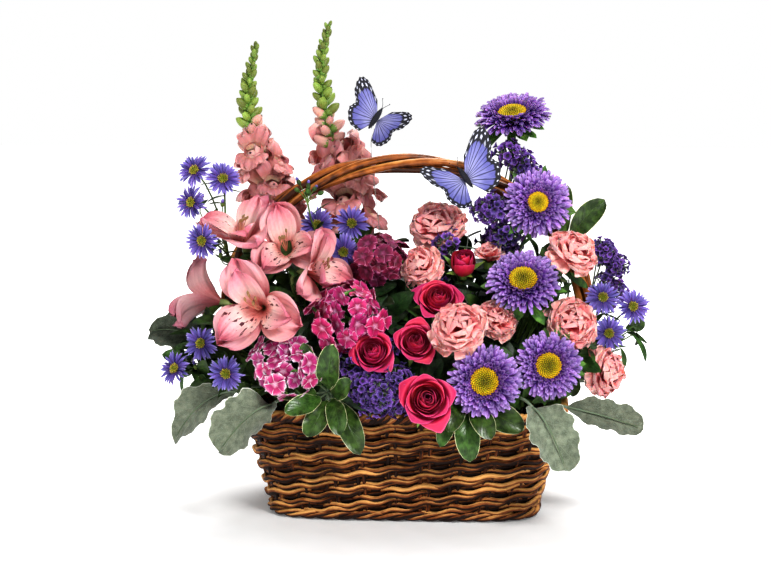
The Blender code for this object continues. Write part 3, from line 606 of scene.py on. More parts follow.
class Sheaf:
    """Gathers grids of points into one mesh, and notes where each point is on its petal."""

    def __init__(self) -> None:
        """Starts an empty sheaf."""
        self.grids: list[Grid] = []
        self.marks: list[tuple[float, float, bool, int, float, float]] = []

    def add(self, grid: Grid, tint: float = 0.5, rank: float = 0.5, slot: int = 0, closed: bool = False,
            span: tuple[float, float] = (0.0, 1.0)) -> None:
        """Adds a grid.

        Args:
            grid: the points, a row for each station along the petal.
            tint: a random number from 0 to 1 that its finish varies with.
            rank: its rank in the bloom, from 0 to 1.
            slot: which of the piece's finishes it has.
            closed: whether its columns close into a tube.
            span: what its first and last rows are marked as, along the petal.
        """
        self.grids.append(grid)
        self.marks.append((*span, closed, slot, tint, rank))

    def place(self, other: "Sheaf", matrix: np.ndarray) -> None:
        """Adds all of another sheaf, moved by a matrix."""
        self.grids += [moved(grid, matrix) for grid in other.grids]
        self.marks += other.marks

    def _cells(self) -> list[tuple[float, float, float, float]]:
        """Lays the grids out flat in rows, and returns each one's left, low, width and height."""
        sizes = []
        for grid in self.grids:
            long = np.linalg.norm(np.diff(grid, axis=0), axis=2).sum(axis=0).mean()
            wide = np.linalg.norm(np.diff(grid, axis=1), axis=2).sum(axis=1).mean()
            sizes.append((wide * 1.08 + 2e-4, long * 1.08 + 2e-4))
        side = math.sqrt(sum(w * h for w, h in sizes)) * 1.06
        side = max(side, max(w for w, _ in sizes))
        cells = [(0.0, 0.0, 1.0, 1.0)] * len(sizes)
        left = low = shelf = 0.0
        for index in sorted(range(len(sizes)), key=lambda i: -sizes[i][1]):
            w, h = sizes[index]
            if left + w > side:
                left, low, shelf = 0.0, low + shelf, 0.0
            cells[index] = (left, low, w, h)
            left, shelf = left + w, max(shelf, h)
        full = max(side, low + shelf)
        return [(x / full, y / full, w / 1.08 / full, h / 1.08 / full) for x, y, w, h in cells]

    def build(self, name: str, finishes: list[Finish]) -> bpy.types.Object:
        """Makes the mesh.

        Args:
            name: the piece's name.
            finishes: the finish of each slot.

        Returns:
            The new object, smooth, with its layout in "OFBake" and its marks in "place".
        """
        quads, maps, places, slots = [], [], [], []
        base = 0
        for grid, mark, cell in zip(self.grids, self.marks, self._cells()):
            start, end, closed, slot, tint, rank = mark
            rows, columns = grid.shape[:2]
            index = base + np.arange(rows * columns).reshape(rows, columns)
            base += rows * columns
            across = np.linspace(0.0, 1.0, columns, endpoint=not closed)
            if closed:
                index = np.hstack((index, index[:, :1]))
            u = np.linspace(0.0, 1.0, index.shape[1])
            v = np.linspace(0.0, 1.0, rows)
            flat = np.stack(np.broadcast_arrays(cell[0] + cell[2] * u[None],
                                                cell[1] + cell[3] * v[:, None]), axis=-1)
            corners = ((slice(None, -1), slice(None, -1)), (slice(None, -1), slice(1, None)),
                       (slice(1, None), slice(1, None)), (slice(1, None), slice(None, -1)))
            quads.append(np.stack([index[c] for c in corners], axis=-1).reshape(-1, 4))
            maps.append(np.stack([flat[c] for c in corners], axis=2).reshape(-1, 2))
            marked = np.empty((rows, columns, 4))
            marked[..., 0] = (start + (end - start) * v)[:, None]
            marked[..., 1] = across if not closed else 1.0 - np.abs(2.0 * across - 1.0)
            marked[..., 2] = tint
            marked[..., 3] = rank
            places.append(marked.reshape(-1, 4))
            slots.append(np.full(len(quads[-1]), slot))
        points = np.vstack([grid.reshape(-1, 3) for grid in self.grids])
        faces = np.vstack(quads)
        mesh = bpy.data.meshes.new(name)
        mesh.vertices.add(len(points))
        mesh.vertices.foreach_set("co", points.ravel())
        mesh.loops.add(faces.size)
        mesh.loops.foreach_set("vertex_index", faces.ravel())
        mesh.polygons.add(len(faces))
        mesh.polygons.foreach_set("loop_start", np.arange(0, faces.size, 4))
        mesh.polygons.foreach_set("material_index", np.concatenate(slots))
        mesh.polygons.foreach_set("use_smooth", np.ones(len(faces), dtype=bool))
        layout = mesh.uv_layers.new(name="OFBake")
        layout.data.foreach_set("uv", np.vstack(maps).ravel())
        marks = mesh.attributes.new("place", "FLOAT_COLOR", "POINT")
        marks.data.foreach_set("color", np.vstack(places).ravel())
        mesh.update()
        mesh.validate()
        for finish in finishes:
            mesh.materials.append(finish.material())
        made = bpy.data.objects.new(name, mesh)
        bpy.context.scene.collection.objects.link(made)
        return made


@dataclass(frozen=True)
class Face:
    """The space that a bloom keeps free of leaves: its middle, the way it faces and its radius."""

    middle: Vector
    way: Vector
    radius: float

    def holds(self, points: Grid) -> bool:
        """Whether any point is in the bloom or just in front of it."""
        apart = points.reshape(-1, 3) - np.array(self.middle)
        ahead = apart @ np.array(self.way)
        aside = np.linalg.norm(apart - ahead[:, None] * np.array(self.way), axis=1)
        return bool(((aside < 0.92 * self.radius) & (ahead > -0.35 * self.radius) & (ahead < 0.06)).any())


FACES: list[Face] = []


def settle(piece: bpy.types.Object, slot: str, *nodes: str) -> bpy.types.Object:
    """Makes a piece ride on the basket and stand for its nodes, and reports it."""
    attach(piece, BODY)
    if nodes:
        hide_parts(*nodes)
    LOG.info("%s: %d faces, for %s", piece.name, len(piece.data.polygons), ", ".join(nodes) or "trim")
    return piece


@dataclass
class Petal:
    """A petal or leaf that grows along +X from the origin, with its upper side towards +Z.

    Args:
        length: its length along its own curve.
        width: half its width at its widest.
        rows: points along it.
        columns: points across it.
        waist: its width at the root, as a share of its widest.
        widest: where it is widest, as a share of its length.
        tip: how it closes, 0.3 for a blunt tip and 1 for a pointed one.
        pitch: how steeply it rises from its root, in radians.
        bend: how far it turns from root to tip, in radians, down if negative.
        late: 1 for an even bend, and more for a bend near the tip.
        cup: how far its sides lift, as a share of its width.
        fold: how far its sides lift from a crease along its middle, as a share of its width.
        ruffle: the height of the waves of its edge, as a share of its width.
        waves: how many waves its edge has.
        fringe: how far the teeth of its tip reach, as a share of its length.
        lobes: how deep the lobes of its sides are, as a share of its width.
        lobe_count: how many lobes a side has.
        sway: how far it turns sideways, in radians.
        stub: the width of its very tip, as a share of its widest.
    """

    length: float
    width: float
    rows: int = 7
    columns: int = 5
    waist: float = 0.35
    widest: float = 0.6
    tip: float = 0.5
    pitch: float = 0.3
    bend: float = 0.0
    late: float = 1.0
    cup: float = 0.0
    fold: float = 0.0
    ruffle: float = 0.0
    waves: float = 2.0
    fringe: float = 0.0
    lobes: float = 0.0
    lobe_count: float = 4.0
    sway: float = 0.0
    stub: float = 0.04

    def outline(self, t: Grid) -> Grid:
        """Half the width at each share of the length."""
        climb = np.sin(0.5 * np.pi * np.minimum(t / self.widest, 1.0)) ** 1.3
        rising = self.waist + (1.0 - self.waist) * climb
        after = np.clip((t - self.widest) / (1.0 - self.widest), 0.0, 1.0)
        closing = np.maximum(1.0 - after**2, 0.0) ** self.tip
        half = rising * np.maximum(closing, self.stub)
        notches = self.lobes * np.abs(np.cos(np.pi * self.lobe_count * t)) * np.minimum(1.0, 4 * t)
        return half * (1.0 - notches)

    def grid(self, rng: np.random.Generator) -> Grid:
        """The petal's points, with its waves and teeth where the generator puts them."""
        t = np.linspace(0.0, 1.0, self.rows)
        s = np.linspace(-1.0, 1.0, self.columns)
        angle = self.pitch + self.bend * t**self.late
        step = self.length / (self.rows - 1)
        middle = 0.5 * (angle[1:] + angle[:-1])
        x = np.concatenate(((0.0,), np.cumsum(np.cos(middle) * step)))
        z = np.concatenate(((0.0,), np.cumsum(np.sin(middle) * step)))
        half = self.width * self.outline(t)
        phase = rng.uniform(0.0, 2 * math.pi)
        ripple = np.sin(1.7 * math.pi * self.waves * s + 2 * phase)
        wave = np.sin(math.pi * self.waves * s + phase) + 0.4 * ripple
        aside = half[:, None] * s[None]
        lift = self.cup * half[:, None] * (s[None] ** 2 - 0.33)
        lift = lift + self.fold * half[:, None] * (np.abs(s)[None] - 0.4)
        lift = lift + self.ruffle * self.width * (t[:, None] ** 2.2) * wave[None]
        edge = np.abs(s)[None] * t[:, None]
        flutter = np.sin(9.0 * t[:, None] + phase + 3.0 * s[None])
        lift = lift + 0.35 * self.ruffle * self.width * edge * flutter
        teeth = self.fringe * self.length * (t[:, None] ** 6) * rng.uniform(-1.0, 0.6, self.columns)[None]
        teeth = teeth - self.fringe * self.length * 1.5 * (t[:, None] ** 6) * (s[None] ** 2)
        c, n = np.cos(angle)[:, None], np.sin(angle)[:, None]
        made = np.stack((x[:, None] + c * teeth - n * lift, aside, z[:, None] + n * teeth + c * lift),
                        axis=-1)
        if self.sway:
            drift = 0.5 * self.sway * self.length * t**2
            made[..., 1] += drift[:, None]
        return made


def spray_of(petal: Petal, angle: float, root: float, height: float, rng: np.random.Generator) -> Grid:
    """A petal set out from the axis at an angle round it, a root radius and a height."""
    grid = petal.grid(rng)
    return turned(grid + np.array((root, 0.0, height)), angle)


def bead(centre: tuple | Vector, way: Vector, radius: float, length: float, rows: int = 6, sides: int = 8,
         blunt: float = 0.5) -> Grid:
    """A closed bud from its root to its tip, as a grid."""
    t = np.linspace(0.02, 0.985, rows)
    profile = np.sin(np.pi * t**0.9) ** blunt
    path = np.array(centre)[None] + np.array(Vector(way).normalized())[None] * (t[:, None] * length)
    return tube(path, radius * profile, sides)


@dataclass
class Stems:
    """The cut stems, which run from under each bloom down into the foam.

    Args:
        low_share: how far out a low bloom's stem stands in the foam, as a share of its distance.
        fall: how much that share falls for each metre a bloom is higher.
        low_height: the height of the lowest blooms.
        limit: how far out a stem may stand in the foam, along and across.
        cut_height: the height of the cut ends.
        radius: the radius of a stem.
    """

    low_share: float = 0.58
    fall: float = 0.80
    low_height: float = 0.12
    limit: tuple[float, float] = (0.086, 0.046)
    cut_height: float = 0.086
    radius: float = 0.0019

    def foot(self, place: Vector) -> Vector:
        """Where the stem of a bloom at a place is cut off."""
        share = self.low_share - self.fall * max(0.0, place.z - self.low_height)
        x = self.limit[0] * math.tanh(share * place.x / self.limit[0])
        y = self.limit[1] * math.tanh(share * place.y / self.limit[1])
        return Vector((x, y, self.cut_height))

    def line(self, top: Vector, way: Vector, steps: int = 14) -> Grid:
        """The points of a stem from its bloom to its cut end."""
        foot = self.foot(top)
        reach = (top - foot).length
        rise = Vector((foot.x * 0.9, foot.y * 0.9, 0.10)).normalized()
        pulls = [np.array(v) for v in (top, top - way * (0.22 * reach), foot + rise * (0.45 * reach), foot)]
        t = np.linspace(0.0, 1.0, steps)[:, None]
        s = 1.0 - t
        return pulls[0] * s**3 + pulls[1] * (3 * s * s * t) + pulls[2] * (3 * s * t * t) + pulls[3] * t**3

    def skin(self, top: Vector, way: Vector, radius: float | None = None) -> Grid:
        """The skin of a stem."""
        line = self.line(top, way)
        return rod(line, radius or self.radius, 7)


STEMS = Stems()


class Green(Enum):
    """The stem and leaf greens."""

    STEM = StemFinish("stem_green", hue("7f9a4a"), hue("4c6b2c"))
    PALE = StemFinish("stem_pale", hue("9fb06c"), hue("6d8448"))
    TWIG = StemFinish("stem_grey", hue("8a9a82"), hue("5d7050"))
    BUD = StemFinish("bud_green", hue("263c10"), hue("9aae50"), 0.35)
    CALYX = StemFinish("calyx_green", hue("6f9440"), hue("93b45a"), 0.15)
    BRACT = LeafFinish("aster_bract", hue("2f5222"), hue("6f9a3e"), veins=5.0, vein_light=0.35,
                       roughness=0.5)
    FILL = LeafFinish("filler_leaf", hue("142610"), hue("2f4d22"), veins=8.0, vein_light=0.3,
                      roughness=0.45)
    FERN = LeafFinish("pointed_leaf", hue("1f3814"), hue("4a6f28"), veins=9.0, vein_light=0.3,
                      roughness=0.5)
    EDGED = LeafFinish("edged_leaf_finish", hue("223a10"), hue("527430"), hue("e2e2b4"), 0.045, 0.0, 8.0,
                       0.45, 0.33)
    SILVER = LeafFinish("silver_leaf_finish", hue("616a56"), hue("8a927c"), hue("dadecf"), 0.03, 0.6, 6.0,
                        0.75, 0.85)
    SHADED = LeafFinish("shaded_silver_leaf", hue("343d2c"), hue("5a6450"), hue("8f9a84"), 0.03, 0.4, 6.0,
                        0.5, 0.8)


@dataclass
class Bloom:
    """A bloom on its stem, which stands for one node.

    Args:
        node: the node it stands for.
        yaw: the way it faces, from the front, in degrees.
        lift: how far above the horizon it faces, in degrees.
        radius: its radius.
        seed: the seed of its petals.
        solid_share: the radius of the node's head, as a share of its own.
        drop: how far the middle of the node's head is behind the bloom's face, as a share of its radius.
        swell: how much wider its petals reach than its solid.
        slot: the name of its slot, which is not used.
    """

    node: str
    yaw: float
    lift: float
    radius: float
    seed: int
    solid_share: float = 0.9
    drop: float = 0.1
    swell: float = 1.1
    slot: str = "aster_purple"

    def __post_init__(self) -> None:
        """Finds the bloom's place from its node."""
        self.rng = np.random.default_rng(self.seed)
        self.way = facing(self.yaw, self.lift)
        knob = knobs(self.node, self.radius * self.solid_share)[0]
        self.centre = knob + self.way * (self.drop * self.radius)
        self.radius *= self.swell
        FACES.append(Face(self.centre, self.way, self.radius))

    def finishes(self) -> list[Finish]:
        """The finishes, petals first."""
        raise NotImplementedError

    def head(self) -> Sheaf:
        """The bloom about the origin, facing +Z."""
        raise NotImplementedError

    def neck(self) -> float:
        """How far behind its face its stem begins, as a share of its radius."""
        return 0.35

    def build(self) -> bpy.types.Object:
        """Makes the piece: the bloom, its stem and what grows on the stem."""
        sheaf = Sheaf()
        sheaf.place(self.head(), stand(self.centre, self.way, self.rng.uniform(0, 6.28)))
        top = self.centre - self.way * (self.neck() * self.radius)
        sheaf.add(STEMS.skin(top, self.way), self.rng.random(), slot=1, closed=True)
        return settle(sheaf.build(self.node + ".bloom", self.finishes()), self.slot, self.node)


@dataclass
class ChinaAster(Bloom):
    """A large aster: rings of narrow rays round a yellow middle, over green bracts.

    Args:
        middle: the radius of the yellow middle, as a share of the bloom's.
        rays: how many rays the outer ring has.
    """

    middle: float = 0.34
    rays: int = 46

    def finishes(self) -> list[Finish]:
        """The finishes, petals first."""
        # Pale lavender at the tips: partly the ray's own colour, partly painted highlight on the curled tips.
        stops = ((0.0, hue("2e1458")), (0.35, hue("582a8e")), (0.68, hue("8450b4")), (1.0, hue("caa6e6")))
        petals = PetalFinish("aster_ray", stops, light=0.30, turn=0.014, streaks=0.3, fine=5.0,
                             roughness=0.38)
        beads = ((0.0, hue("8a7e1e")), (0.35, hue("b6a620")), (0.75, hue("dec424")), (1.0, hue("e8b81c")))
        return [petals, Green.STEM.value, BeadFinish("aster_middle", beads), Green.BRACT.value]

    def head(self) -> Sheaf:
        """The bloom about the origin, facing +Z."""
        made, rng, r = Sheaf(), self.rng, self.radius
        inner = self.middle * r
        rings = 7
        for ring in range(rings):
            share = ring / (rings - 1)
            count = int(self.rays * (1.0 - 0.25 * share))
            for i in range(count):
                reach = (r - inner) * (1.02 - 0.66 * share) * rng.uniform(0.93, 1.03)
                petal = Petal(
                    reach, r * 0.056 * rng.uniform(0.9, 1.2), 8, 3, waist=0.5, widest=0.78, tip=0.26,
                    stub=0.5,
                    pitch=0.12 + 0.66 * share + rng.normal(0, 0.08),
                    bend=-0.34 + 0.8 * share + rng.normal(0, 0.20),
                    late=1.8, cup=0.8, sway=rng.normal(0, 0.2),
                )
                angle = 2 * math.pi * (i + 0.5 * (ring % 2) + rng.uniform(-0.25, 0.25)) / count
                height = -0.10 * r + 0.10 * r * share
                made.add(spray_of(petal, angle, inner * (1.02 - 0.08 * share), height, rng), rng.random(),
                         share)
        florets = 170
        for i in range(florets):
            share = (i + 0.5) / florets
            out = inner * math.sqrt(share)
            angle = i * GOLDEN_TURN
            place = Vector((out * math.cos(angle), out * math.sin(angle),
                            0.10 * r * (1 - share**1.5) - 0.02 * r))
            way = Vector((0.5 * place.x / inner, 0.5 * place.y / inner, 1.0))
            size = r * 0.030 * (0.8 + 0.4 * share)
            made.add(bead(place, way, size, 2.6 * size, 4, 5), rng.random(), math.sqrt(share), 2, True)
        for i in range(13):
            long = r * rng.uniform(0.75, 1.18)
            bract = Petal(
                long, r * rng.uniform(0.11, 0.17), 8, 5, waist=0.3, widest=0.62, tip=0.5,
                pitch=rng.uniform(-0.25, 0.15), bend=rng.uniform(-0.5, 0.2), fold=0.35,
                sway=rng.normal(0, 0.2),
            )
            angle = i * GOLDEN_TURN + rng.uniform(-0.2, 0.2)
            made.add(spray_of(bract, angle, 0.08 * r, -0.30 * r, rng), rng.random(), slot=3)
        hull = np.array([(0, 0, z * r) for z in (-0.42, -0.36, -0.24, -0.14, -0.08)])
        made.add(tube(hull, np.array((0.08, 0.22, 0.33, 0.36, 0.34)) * r, 14), 0.5, slot=1, closed=True)
        return made


@dataclass
class Rose(Bloom):
    """A rose: petals wrapped in a spiral, the outer ones rolled back to points.

    Args:
        open: 0 for a bud and 1 for a wide open rose.
        petals: how many petals it has.
    """

    open: float = 1.0
    petals: int = 17
    slot: str = "rose_pink"

    def finishes(self) -> list[Finish]:
        """The finishes, petals first."""
        # The dark root colour, with inner petals darkened further, paints the shade deep in the rose.
        stops = ((0.0, hue("900a28")), (0.45, hue("c61848")), (0.80, hue("ca1c52")), (1.0, hue("d62c66")))
        petals = PetalFinish(
            "rose_petal", stops, hue("e8588e"), 0.025, light=0.12, turn=0.012, streaks=0.08, fine=20.0,
            roughness=0.5, depth_shade=0.25
        )
        return [petals, Green.STEM.value, Green.CALYX.value]

    def _wrap(self, size: float, height: float, flare: float, spread: float, turn: float,
              point: float) -> Grid:
        """One petal wrapped round the axis.

        Args:
            size: its distance from the axis.
            height: how high it stands.
            flare: how far its lip rolls out, or in if it is negative.
            spread: half the angle it covers, in radians.
            turn: the angle of its middle.
            point: how sharp the point of its lip is.

        Returns:
            The petal's points.
        """
        rows, columns = 15, 17
        t = np.linspace(0.0, 1.0, rows)[:, None]
        s = np.linspace(-1.0, 1.0, columns)[None]
        crown = 1.0 - 0.30 * np.abs(s) ** 3.2 + point * np.exp(-((s / 0.20) ** 2))
        u = t * crown
        a, b, c = 1.0 - u, u, 3.0
        lip = size * (0.86 + flare)
        out = size * 0.22 * a**3 + c * size * 0.95 * a * a * b + c * size * 1.06 * a * b * b + lip * b**3
        up = c * height * 0.04 * a * a * b + c * height * (0.80 - 0.10 * flare) * a * b * b
        up = up + height * (1.0 - 0.18 * max(flare, 0.0)) * b**3
        roll = np.clip((u - 0.80) / 0.20, 0.0, 1.4) ** 2 * max(flare + 0.12, 0.0)
        out = out + 0.26 * self.radius * roll
        up = up - 0.26 * self.radius * roll
        ripple = 0.022 * self.radius * np.sin(5.0 * s + self.rng.uniform(0, 6.28)) * t**3
        out = out + ripple
        angle = turn + s * spread * (0.62 + 0.38 * np.sqrt(t))
        out = out + 0.05 * size * s
        return np.stack((out * np.cos(angle), out * np.sin(angle), up - 0.62 * self.radius + 0 * angle),
                        axis=-1)

    def head(self) -> Sheaf:
        """The bloom about the origin, facing +Z."""
        made, rng, r = Sheaf(), self.rng, self.radius
        for i in range(self.petals):
            share = i / (self.petals - 1)
            size = r * (0.10 + 0.66 * share**0.85) * (0.55 + 0.45 * self.open)
            height = r * (1.02 - 0.42 * share**1.3 * self.open) * rng.uniform(0.96, 1.04)
            flare = (-0.30 + 0.72 * share**1.3) * self.open - 0.25 * (1 - self.open)
            spread = math.radians(100 - 44 * share)
            turn = i * GOLDEN_TURN + rng.uniform(-0.15, 0.15)
            point = 0.06 * share**2 * self.open + 0.02
            made.add(self._wrap(size, height, flare, spread, turn, point), rng.random(), share)
        for i in range(5):
            sepal = Petal(
                r * 0.95, r * 0.16, 9, 5, waist=0.8, widest=0.25, tip=1.1,
                pitch=0.9 * (1 - self.open) + 0.1,
                bend=-0.9 * self.open + 0.3, fold=0.3, sway=rng.normal(0, 0.15),
            )
            made.add(spray_of(sepal, 2 * math.pi * i / 5 + 0.3, 0.10 * r, -0.64 * r, rng), rng.random(),
                     slot=2)
        hip = np.array([(0, 0, z * r) for z in (-1.02, -0.95, -0.82, -0.68, -0.58)])
        made.add(tube(hip, np.array((0.08, 0.17, 0.21, 0.20, 0.24)) * r, 12), 0.5, slot=2, closed=True)
        return made

    def neck(self) -> float:
        """How far behind its face its stem begins, as a share of its radius."""
        return 0.95


@dataclass
class Carnation(Bloom):
    """A mini carnation: many ruffled, toothed petals out of a long green calyx.

    Args:
        petals: how many petals it has.
        open: 0 for a bud and 1 for a full bloom.
    """

    petals: int = 30
    open: float = 1.0
    slot: str = "carnation_pink"

    def finishes(self) -> list[Finish]:
        """The finishes, petals first."""
        # Deeper coral toward the root and on inner petals: partly the flower's own colour, partly painted
        # shade deep in the bloom.
        stops = ((0.0, hue("d6444a")), (0.40, hue("ef767a")), (0.72, hue("faa2a2")), (1.0, hue("ffc6c0")))
        petals = PetalFinish(
            "carnation_petal", stops, light=0.06, turn=0.006, streaks=0.06, fine=7.0, depth=0.0001,
            glow=0.3, depth_shade=0.35,
        )
        return [petals, Green.STEM.value, Green.CALYX.value]

    def head(self) -> Sheaf:
        """The bloom about the origin, facing +Z."""
        made, rng, r = Sheaf(), self.rng, self.radius
        for i in range(self.petals):
            share = (i + 0.5) / self.petals
            from_axis = math.radians(6 + 96 * share**0.62 * (0.28 + 0.72 * self.open)) + rng.normal(0, 0.07)
            long = r * (0.86 + 0.22 * share) * rng.uniform(0.88, 1.06)
            petal = Petal(
                long, r * rng.uniform(0.50, 0.62) * (0.5 + 0.5 * self.open), 14, 21, waist=0.10,
                widest=0.82, tip=0.34,
                pitch=math.pi / 2 - from_axis + 0.42, bend=-0.80 * (0.35 + share), late=1.8, cup=0.10,
                ruffle=0.15 * (0.4 + 0.6 * self.open), waves=2.1, fringe=0.04, sway=rng.normal(0, 0.25),
            )
            made.add(spray_of(petal, i * GOLDEN_TURN, 0.03 * r, -0.46 * r, rng), rng.random(), share)
        cup = np.array([(0, 0, z * r) for z in (-1.30, -1.22, -1.0, -0.7, -0.42, -0.34)])
        sizes = np.array((0.10, 0.18, 0.22, 0.24, 0.27, 0.24)) * r
        made.add(tube(cup, sizes, 12), 0.4, slot=2, closed=True)
        for i in range(5):
            tooth = Petal(r * 0.30, r * 0.12, 4, 3, waist=0.9, widest=0.2, tip=1.0, pitch=1.1, bend=-0.5)
            made.add(spray_of(tooth, 2 * math.pi * i / 5, 0.22 * r, -0.46 * r, rng), 0.5, slot=2)
        return made

    def neck(self) -> float:
        """How far behind its face its stem begins, as a share of its radius."""
        return 1.2


class William(Enum):
    """The colours of the sweet williams: from root to tip, and the edge."""

    PINK_WHITE = (("e9b8cf", "a81464", "c43484", "f3c8de"), "f9e4ee")
    HOT_PINK = (("e8a4c4", "98104c", "cc2474", "dc4c90"), "f4a8cc")
    MAGENTA = (("a84474", "5c0c30", "8a1c4c", "a83468"), "cc7098")


@dataclass
class SweetWilliam(Bloom):
    """A dome of small florets, each of five toothed petals, with narrow bracts between them.

    Args:
        colours: its colours.
        florets: how many florets it has.
    """

    colours: William = William.HOT_PINK
    florets: int = 27
    slot: str = "sweet_william"

    def finishes(self) -> list[Finish]:
        """The finishes, petals first."""
        codes, edge = self.colours.value
        stops = tuple(zip((0.0, 0.30, 0.62, 1.0), (hue(code) for code in codes)))
        name = "william_" + self.colours.name.lower()
        petals = PetalFinish(name, stops, hue(edge), 0.12, light=0.16, turn=0.012, streaks=0.2, fine=6.0)
        return [petals, Green.STEM.value, Green.BRACT.value]

    def head(self) -> Sheaf:
        """The bloom about the origin, facing +Z."""
        made, rng, r = Sheaf(), self.rng, self.radius
        for i in range(self.florets):
            share = (i + 0.5) / self.florets
            from_axis = math.acos(1.0 - 1.12 * share) + rng.normal(0, 0.06)
            angle = i * GOLDEN_TURN
            way = Vector((math.sin(from_axis) * math.cos(angle), math.sin(from_axis) * math.sin(angle),
                          math.cos(from_axis)))
            place = way * r * rng.uniform(0.62, 0.98) - Vector((0, 0, 0.25 * r))
            tilted = (way + Vector(rng.normal(0, 0.30, 3))).normalized()
            floret = Sheaf()
            tint = rng.random()
            size = r * rng.uniform(0.28, 0.36)
            for k in range(5):
                petal = Petal(
                    size, size * 0.54, 7, 9, waist=0.22, widest=0.80, tip=0.30,
                    pitch=0.40 + rng.normal(0, 0.16),
                    bend=-0.6, cup=-0.15, ruffle=0.10, fringe=0.12,
                )
                floret.add(spray_of(petal, 2 * math.pi * k / 5 + rng.normal(0, 0.06), 0.02 * size, 0.0,
                                    rng),
                           min(1.0, max(0.0, tint + rng.normal(0, 0.1))), share)
            neck = np.array([(0, 0, z * size) for z in (-1.6, -1.0, -0.4, 0.02)])
            floret.add(tube(neck, np.array((0.10, 0.14, 0.16, 0.12)) * size, 6), rng.random(), slot=2,
                       closed=True)
            made.place(floret, stand(place, tilted, rng.uniform(0, 6.28)))
        for i in range(26):
            angle = i * GOLDEN_TURN + 0.5
            bract = Petal(r * rng.uniform(0.6, 0.95), r * 0.05, 6, 3, waist=0.7, widest=0.3, tip=1.0,
                          pitch=rng.uniform(0.1, 1.2), bend=0.3, fold=0.3)
            made.add(spray_of(bract, angle, 0.06 * r, -0.45 * r, rng), rng.random(), slot=2)
        for i in range(14):
            angle, out = i * GOLDEN_TURN, 0.5 * r * math.sqrt((i + 0.5) / 14)
            end = np.array((out * math.cos(angle), out * math.sin(angle), 0.1 * r))
            line = curve([(0, 0, -0.62 * r), 0.4 * end + np.array((0, 0, -0.35 * r)), end], 3)
            made.add(tube(line, 0.035 * r, 5), rng.random(), slot=1, closed=True)
        return made

    def neck(self) -> float:
        """How far behind its face its stem begins, as a share of its radius."""
        return 0.55


@dataclass
class Alstroemeria(Bloom):
    """A trumpet of three broad tepals and three narrow flecked ones, with its stamens."""

    slot: str = "alstroemeria_pink"
    shade: bool = False

    def finishes(self) -> list[Finish]:
        """The finishes, petals first."""
        dim = 0.62 if self.shade else 1.0
        pale = ((0.0, hue("cc5e60")), (0.3, hue("ea9096")), (0.6, hue("f9c6c8")), (0.85, hue("f6b6be")),
                (1.0, hue("e2879c")))
        throat = ((0.0, hue("cc6a5a")), (0.25, hue("ea9890")), (0.48, hue("f8d8d2")),
                  (0.76, hue("f2a8b0")), (1.0, hue("dc7c92")))
        names = ("alstroemeria_broad", "alstroemeria_narrow")
        if self.shade:
            names = ("alstroemeria_dim", "alstroemeria_dim_in")
        made = []
        for name, stops, flecks in zip(names, (pale, throat), (None, hue("5a1626"))):
            stops = tuple((at, tuple(dim * c for c in colour)) for at, colour in stops)
            made.append(PetalFinish(name, stops, light=0.07, turn=0.006, streaks=0.20, fine=13.0,
                                    roughness=0.42,
                                    flecks=flecks, glow=0.15, depth=0.0012))
        return [made[0], Green.PALE.value, made[1], StemFinish("anther", hue("e39a88"), hue("8a6a44"))]

    def head(self) -> Sheaf:
        """The bloom about the origin, facing +Z."""
        made, rng, r = Sheaf(), self.rng, self.radius
        for i in range(3):
            petal = Petal(
                r * 1.54, r * 0.60, 17, 15, waist=0.14, widest=0.62, tip=0.60,
                pitch=1.20 + rng.normal(0, 0.08),
                bend=-1.30 + rng.normal(0, 0.16), late=1.1, cup=0.34, fold=0.10, ruffle=0.27, waves=2.2,
                fringe=0.02, sway=rng.normal(0, 0.1),
            )
            made.add(spray_of(petal, 2 * math.pi * i / 3 + math.pi, 0.07 * r, -0.80 * r, rng),
                     rng.random(), 0.2)
        for i in range(3):
            petal = Petal(
                r * 1.54, r * 0.42, 17, 11, waist=0.14, widest=0.62, tip=0.70,
                pitch=1.28 + rng.normal(0, 0.07),
                bend=-1.15 + rng.normal(0, 0.14), late=1.3, cup=0.36, fold=0.18, ruffle=0.24, waves=1.8,
                fringe=0.02, sway=rng.normal(0, 0.12),
            )
            rank = 0.9 if i != 1 else 0.1
            made.add(spray_of(petal, 2 * math.pi * i / 3 + math.pi / 3, 0.05 * r, -0.80 * r, rng),
                     rng.random(), rank, 2)
        for i in range(6):
            angle = rng.uniform(0, 6.28)
            out = np.array((math.cos(angle), math.sin(angle), 0.0)) * r * rng.uniform(0.05, 0.16)
            end = out + np.array((-0.16 * r, 0.0, 0.02 * r * rng.uniform(-4.0, 3.0)))
            line = curve([(0, 0, -0.75 * r), 0.5 * out + np.array((0, 0, -0.3 * r)), end], 5)
            made.add(tube(line, 0.013 * r, 5), rng.random(), slot=3, closed=True, span=(0.0, 0.5))
            made.add(bead(line[-1], Vector((-1, 0.2, 0.6)), 0.035 * r, 0.13 * r, 5, 6), 0.9, slot=3,
                     closed=True, span=(0.8, 1.0))
        ovary = np.array([(0, 0, z * r) for z in (-1.06, -1.0, -0.90, -0.80, -0.74)])
        made.add(tube(ovary, np.array((0.06, 0.10, 0.12, 0.10, 0.10)) * r, 10), 0.3, slot=1, closed=True)
        return made

    def neck(self) -> float:
        """How far behind its face its stem begins, as a share of its radius."""
        return 1.0

    def build(self) -> bpy.types.Object:
        """Makes the piece, with its broad tepals one up and two down."""
        sheaf = Sheaf()
        sheaf.place(self.head(), stand(self.centre, self.way, math.pi + self.rng.normal(0, 0.2)))
        sheaf.add(STEMS.skin(self.centre - self.way * (self.neck() * self.radius), self.way), 0.4, slot=1,
                  closed=True)
        return settle(sheaf.build(self.node + ".bloom", self.finishes()), self.slot, self.node)


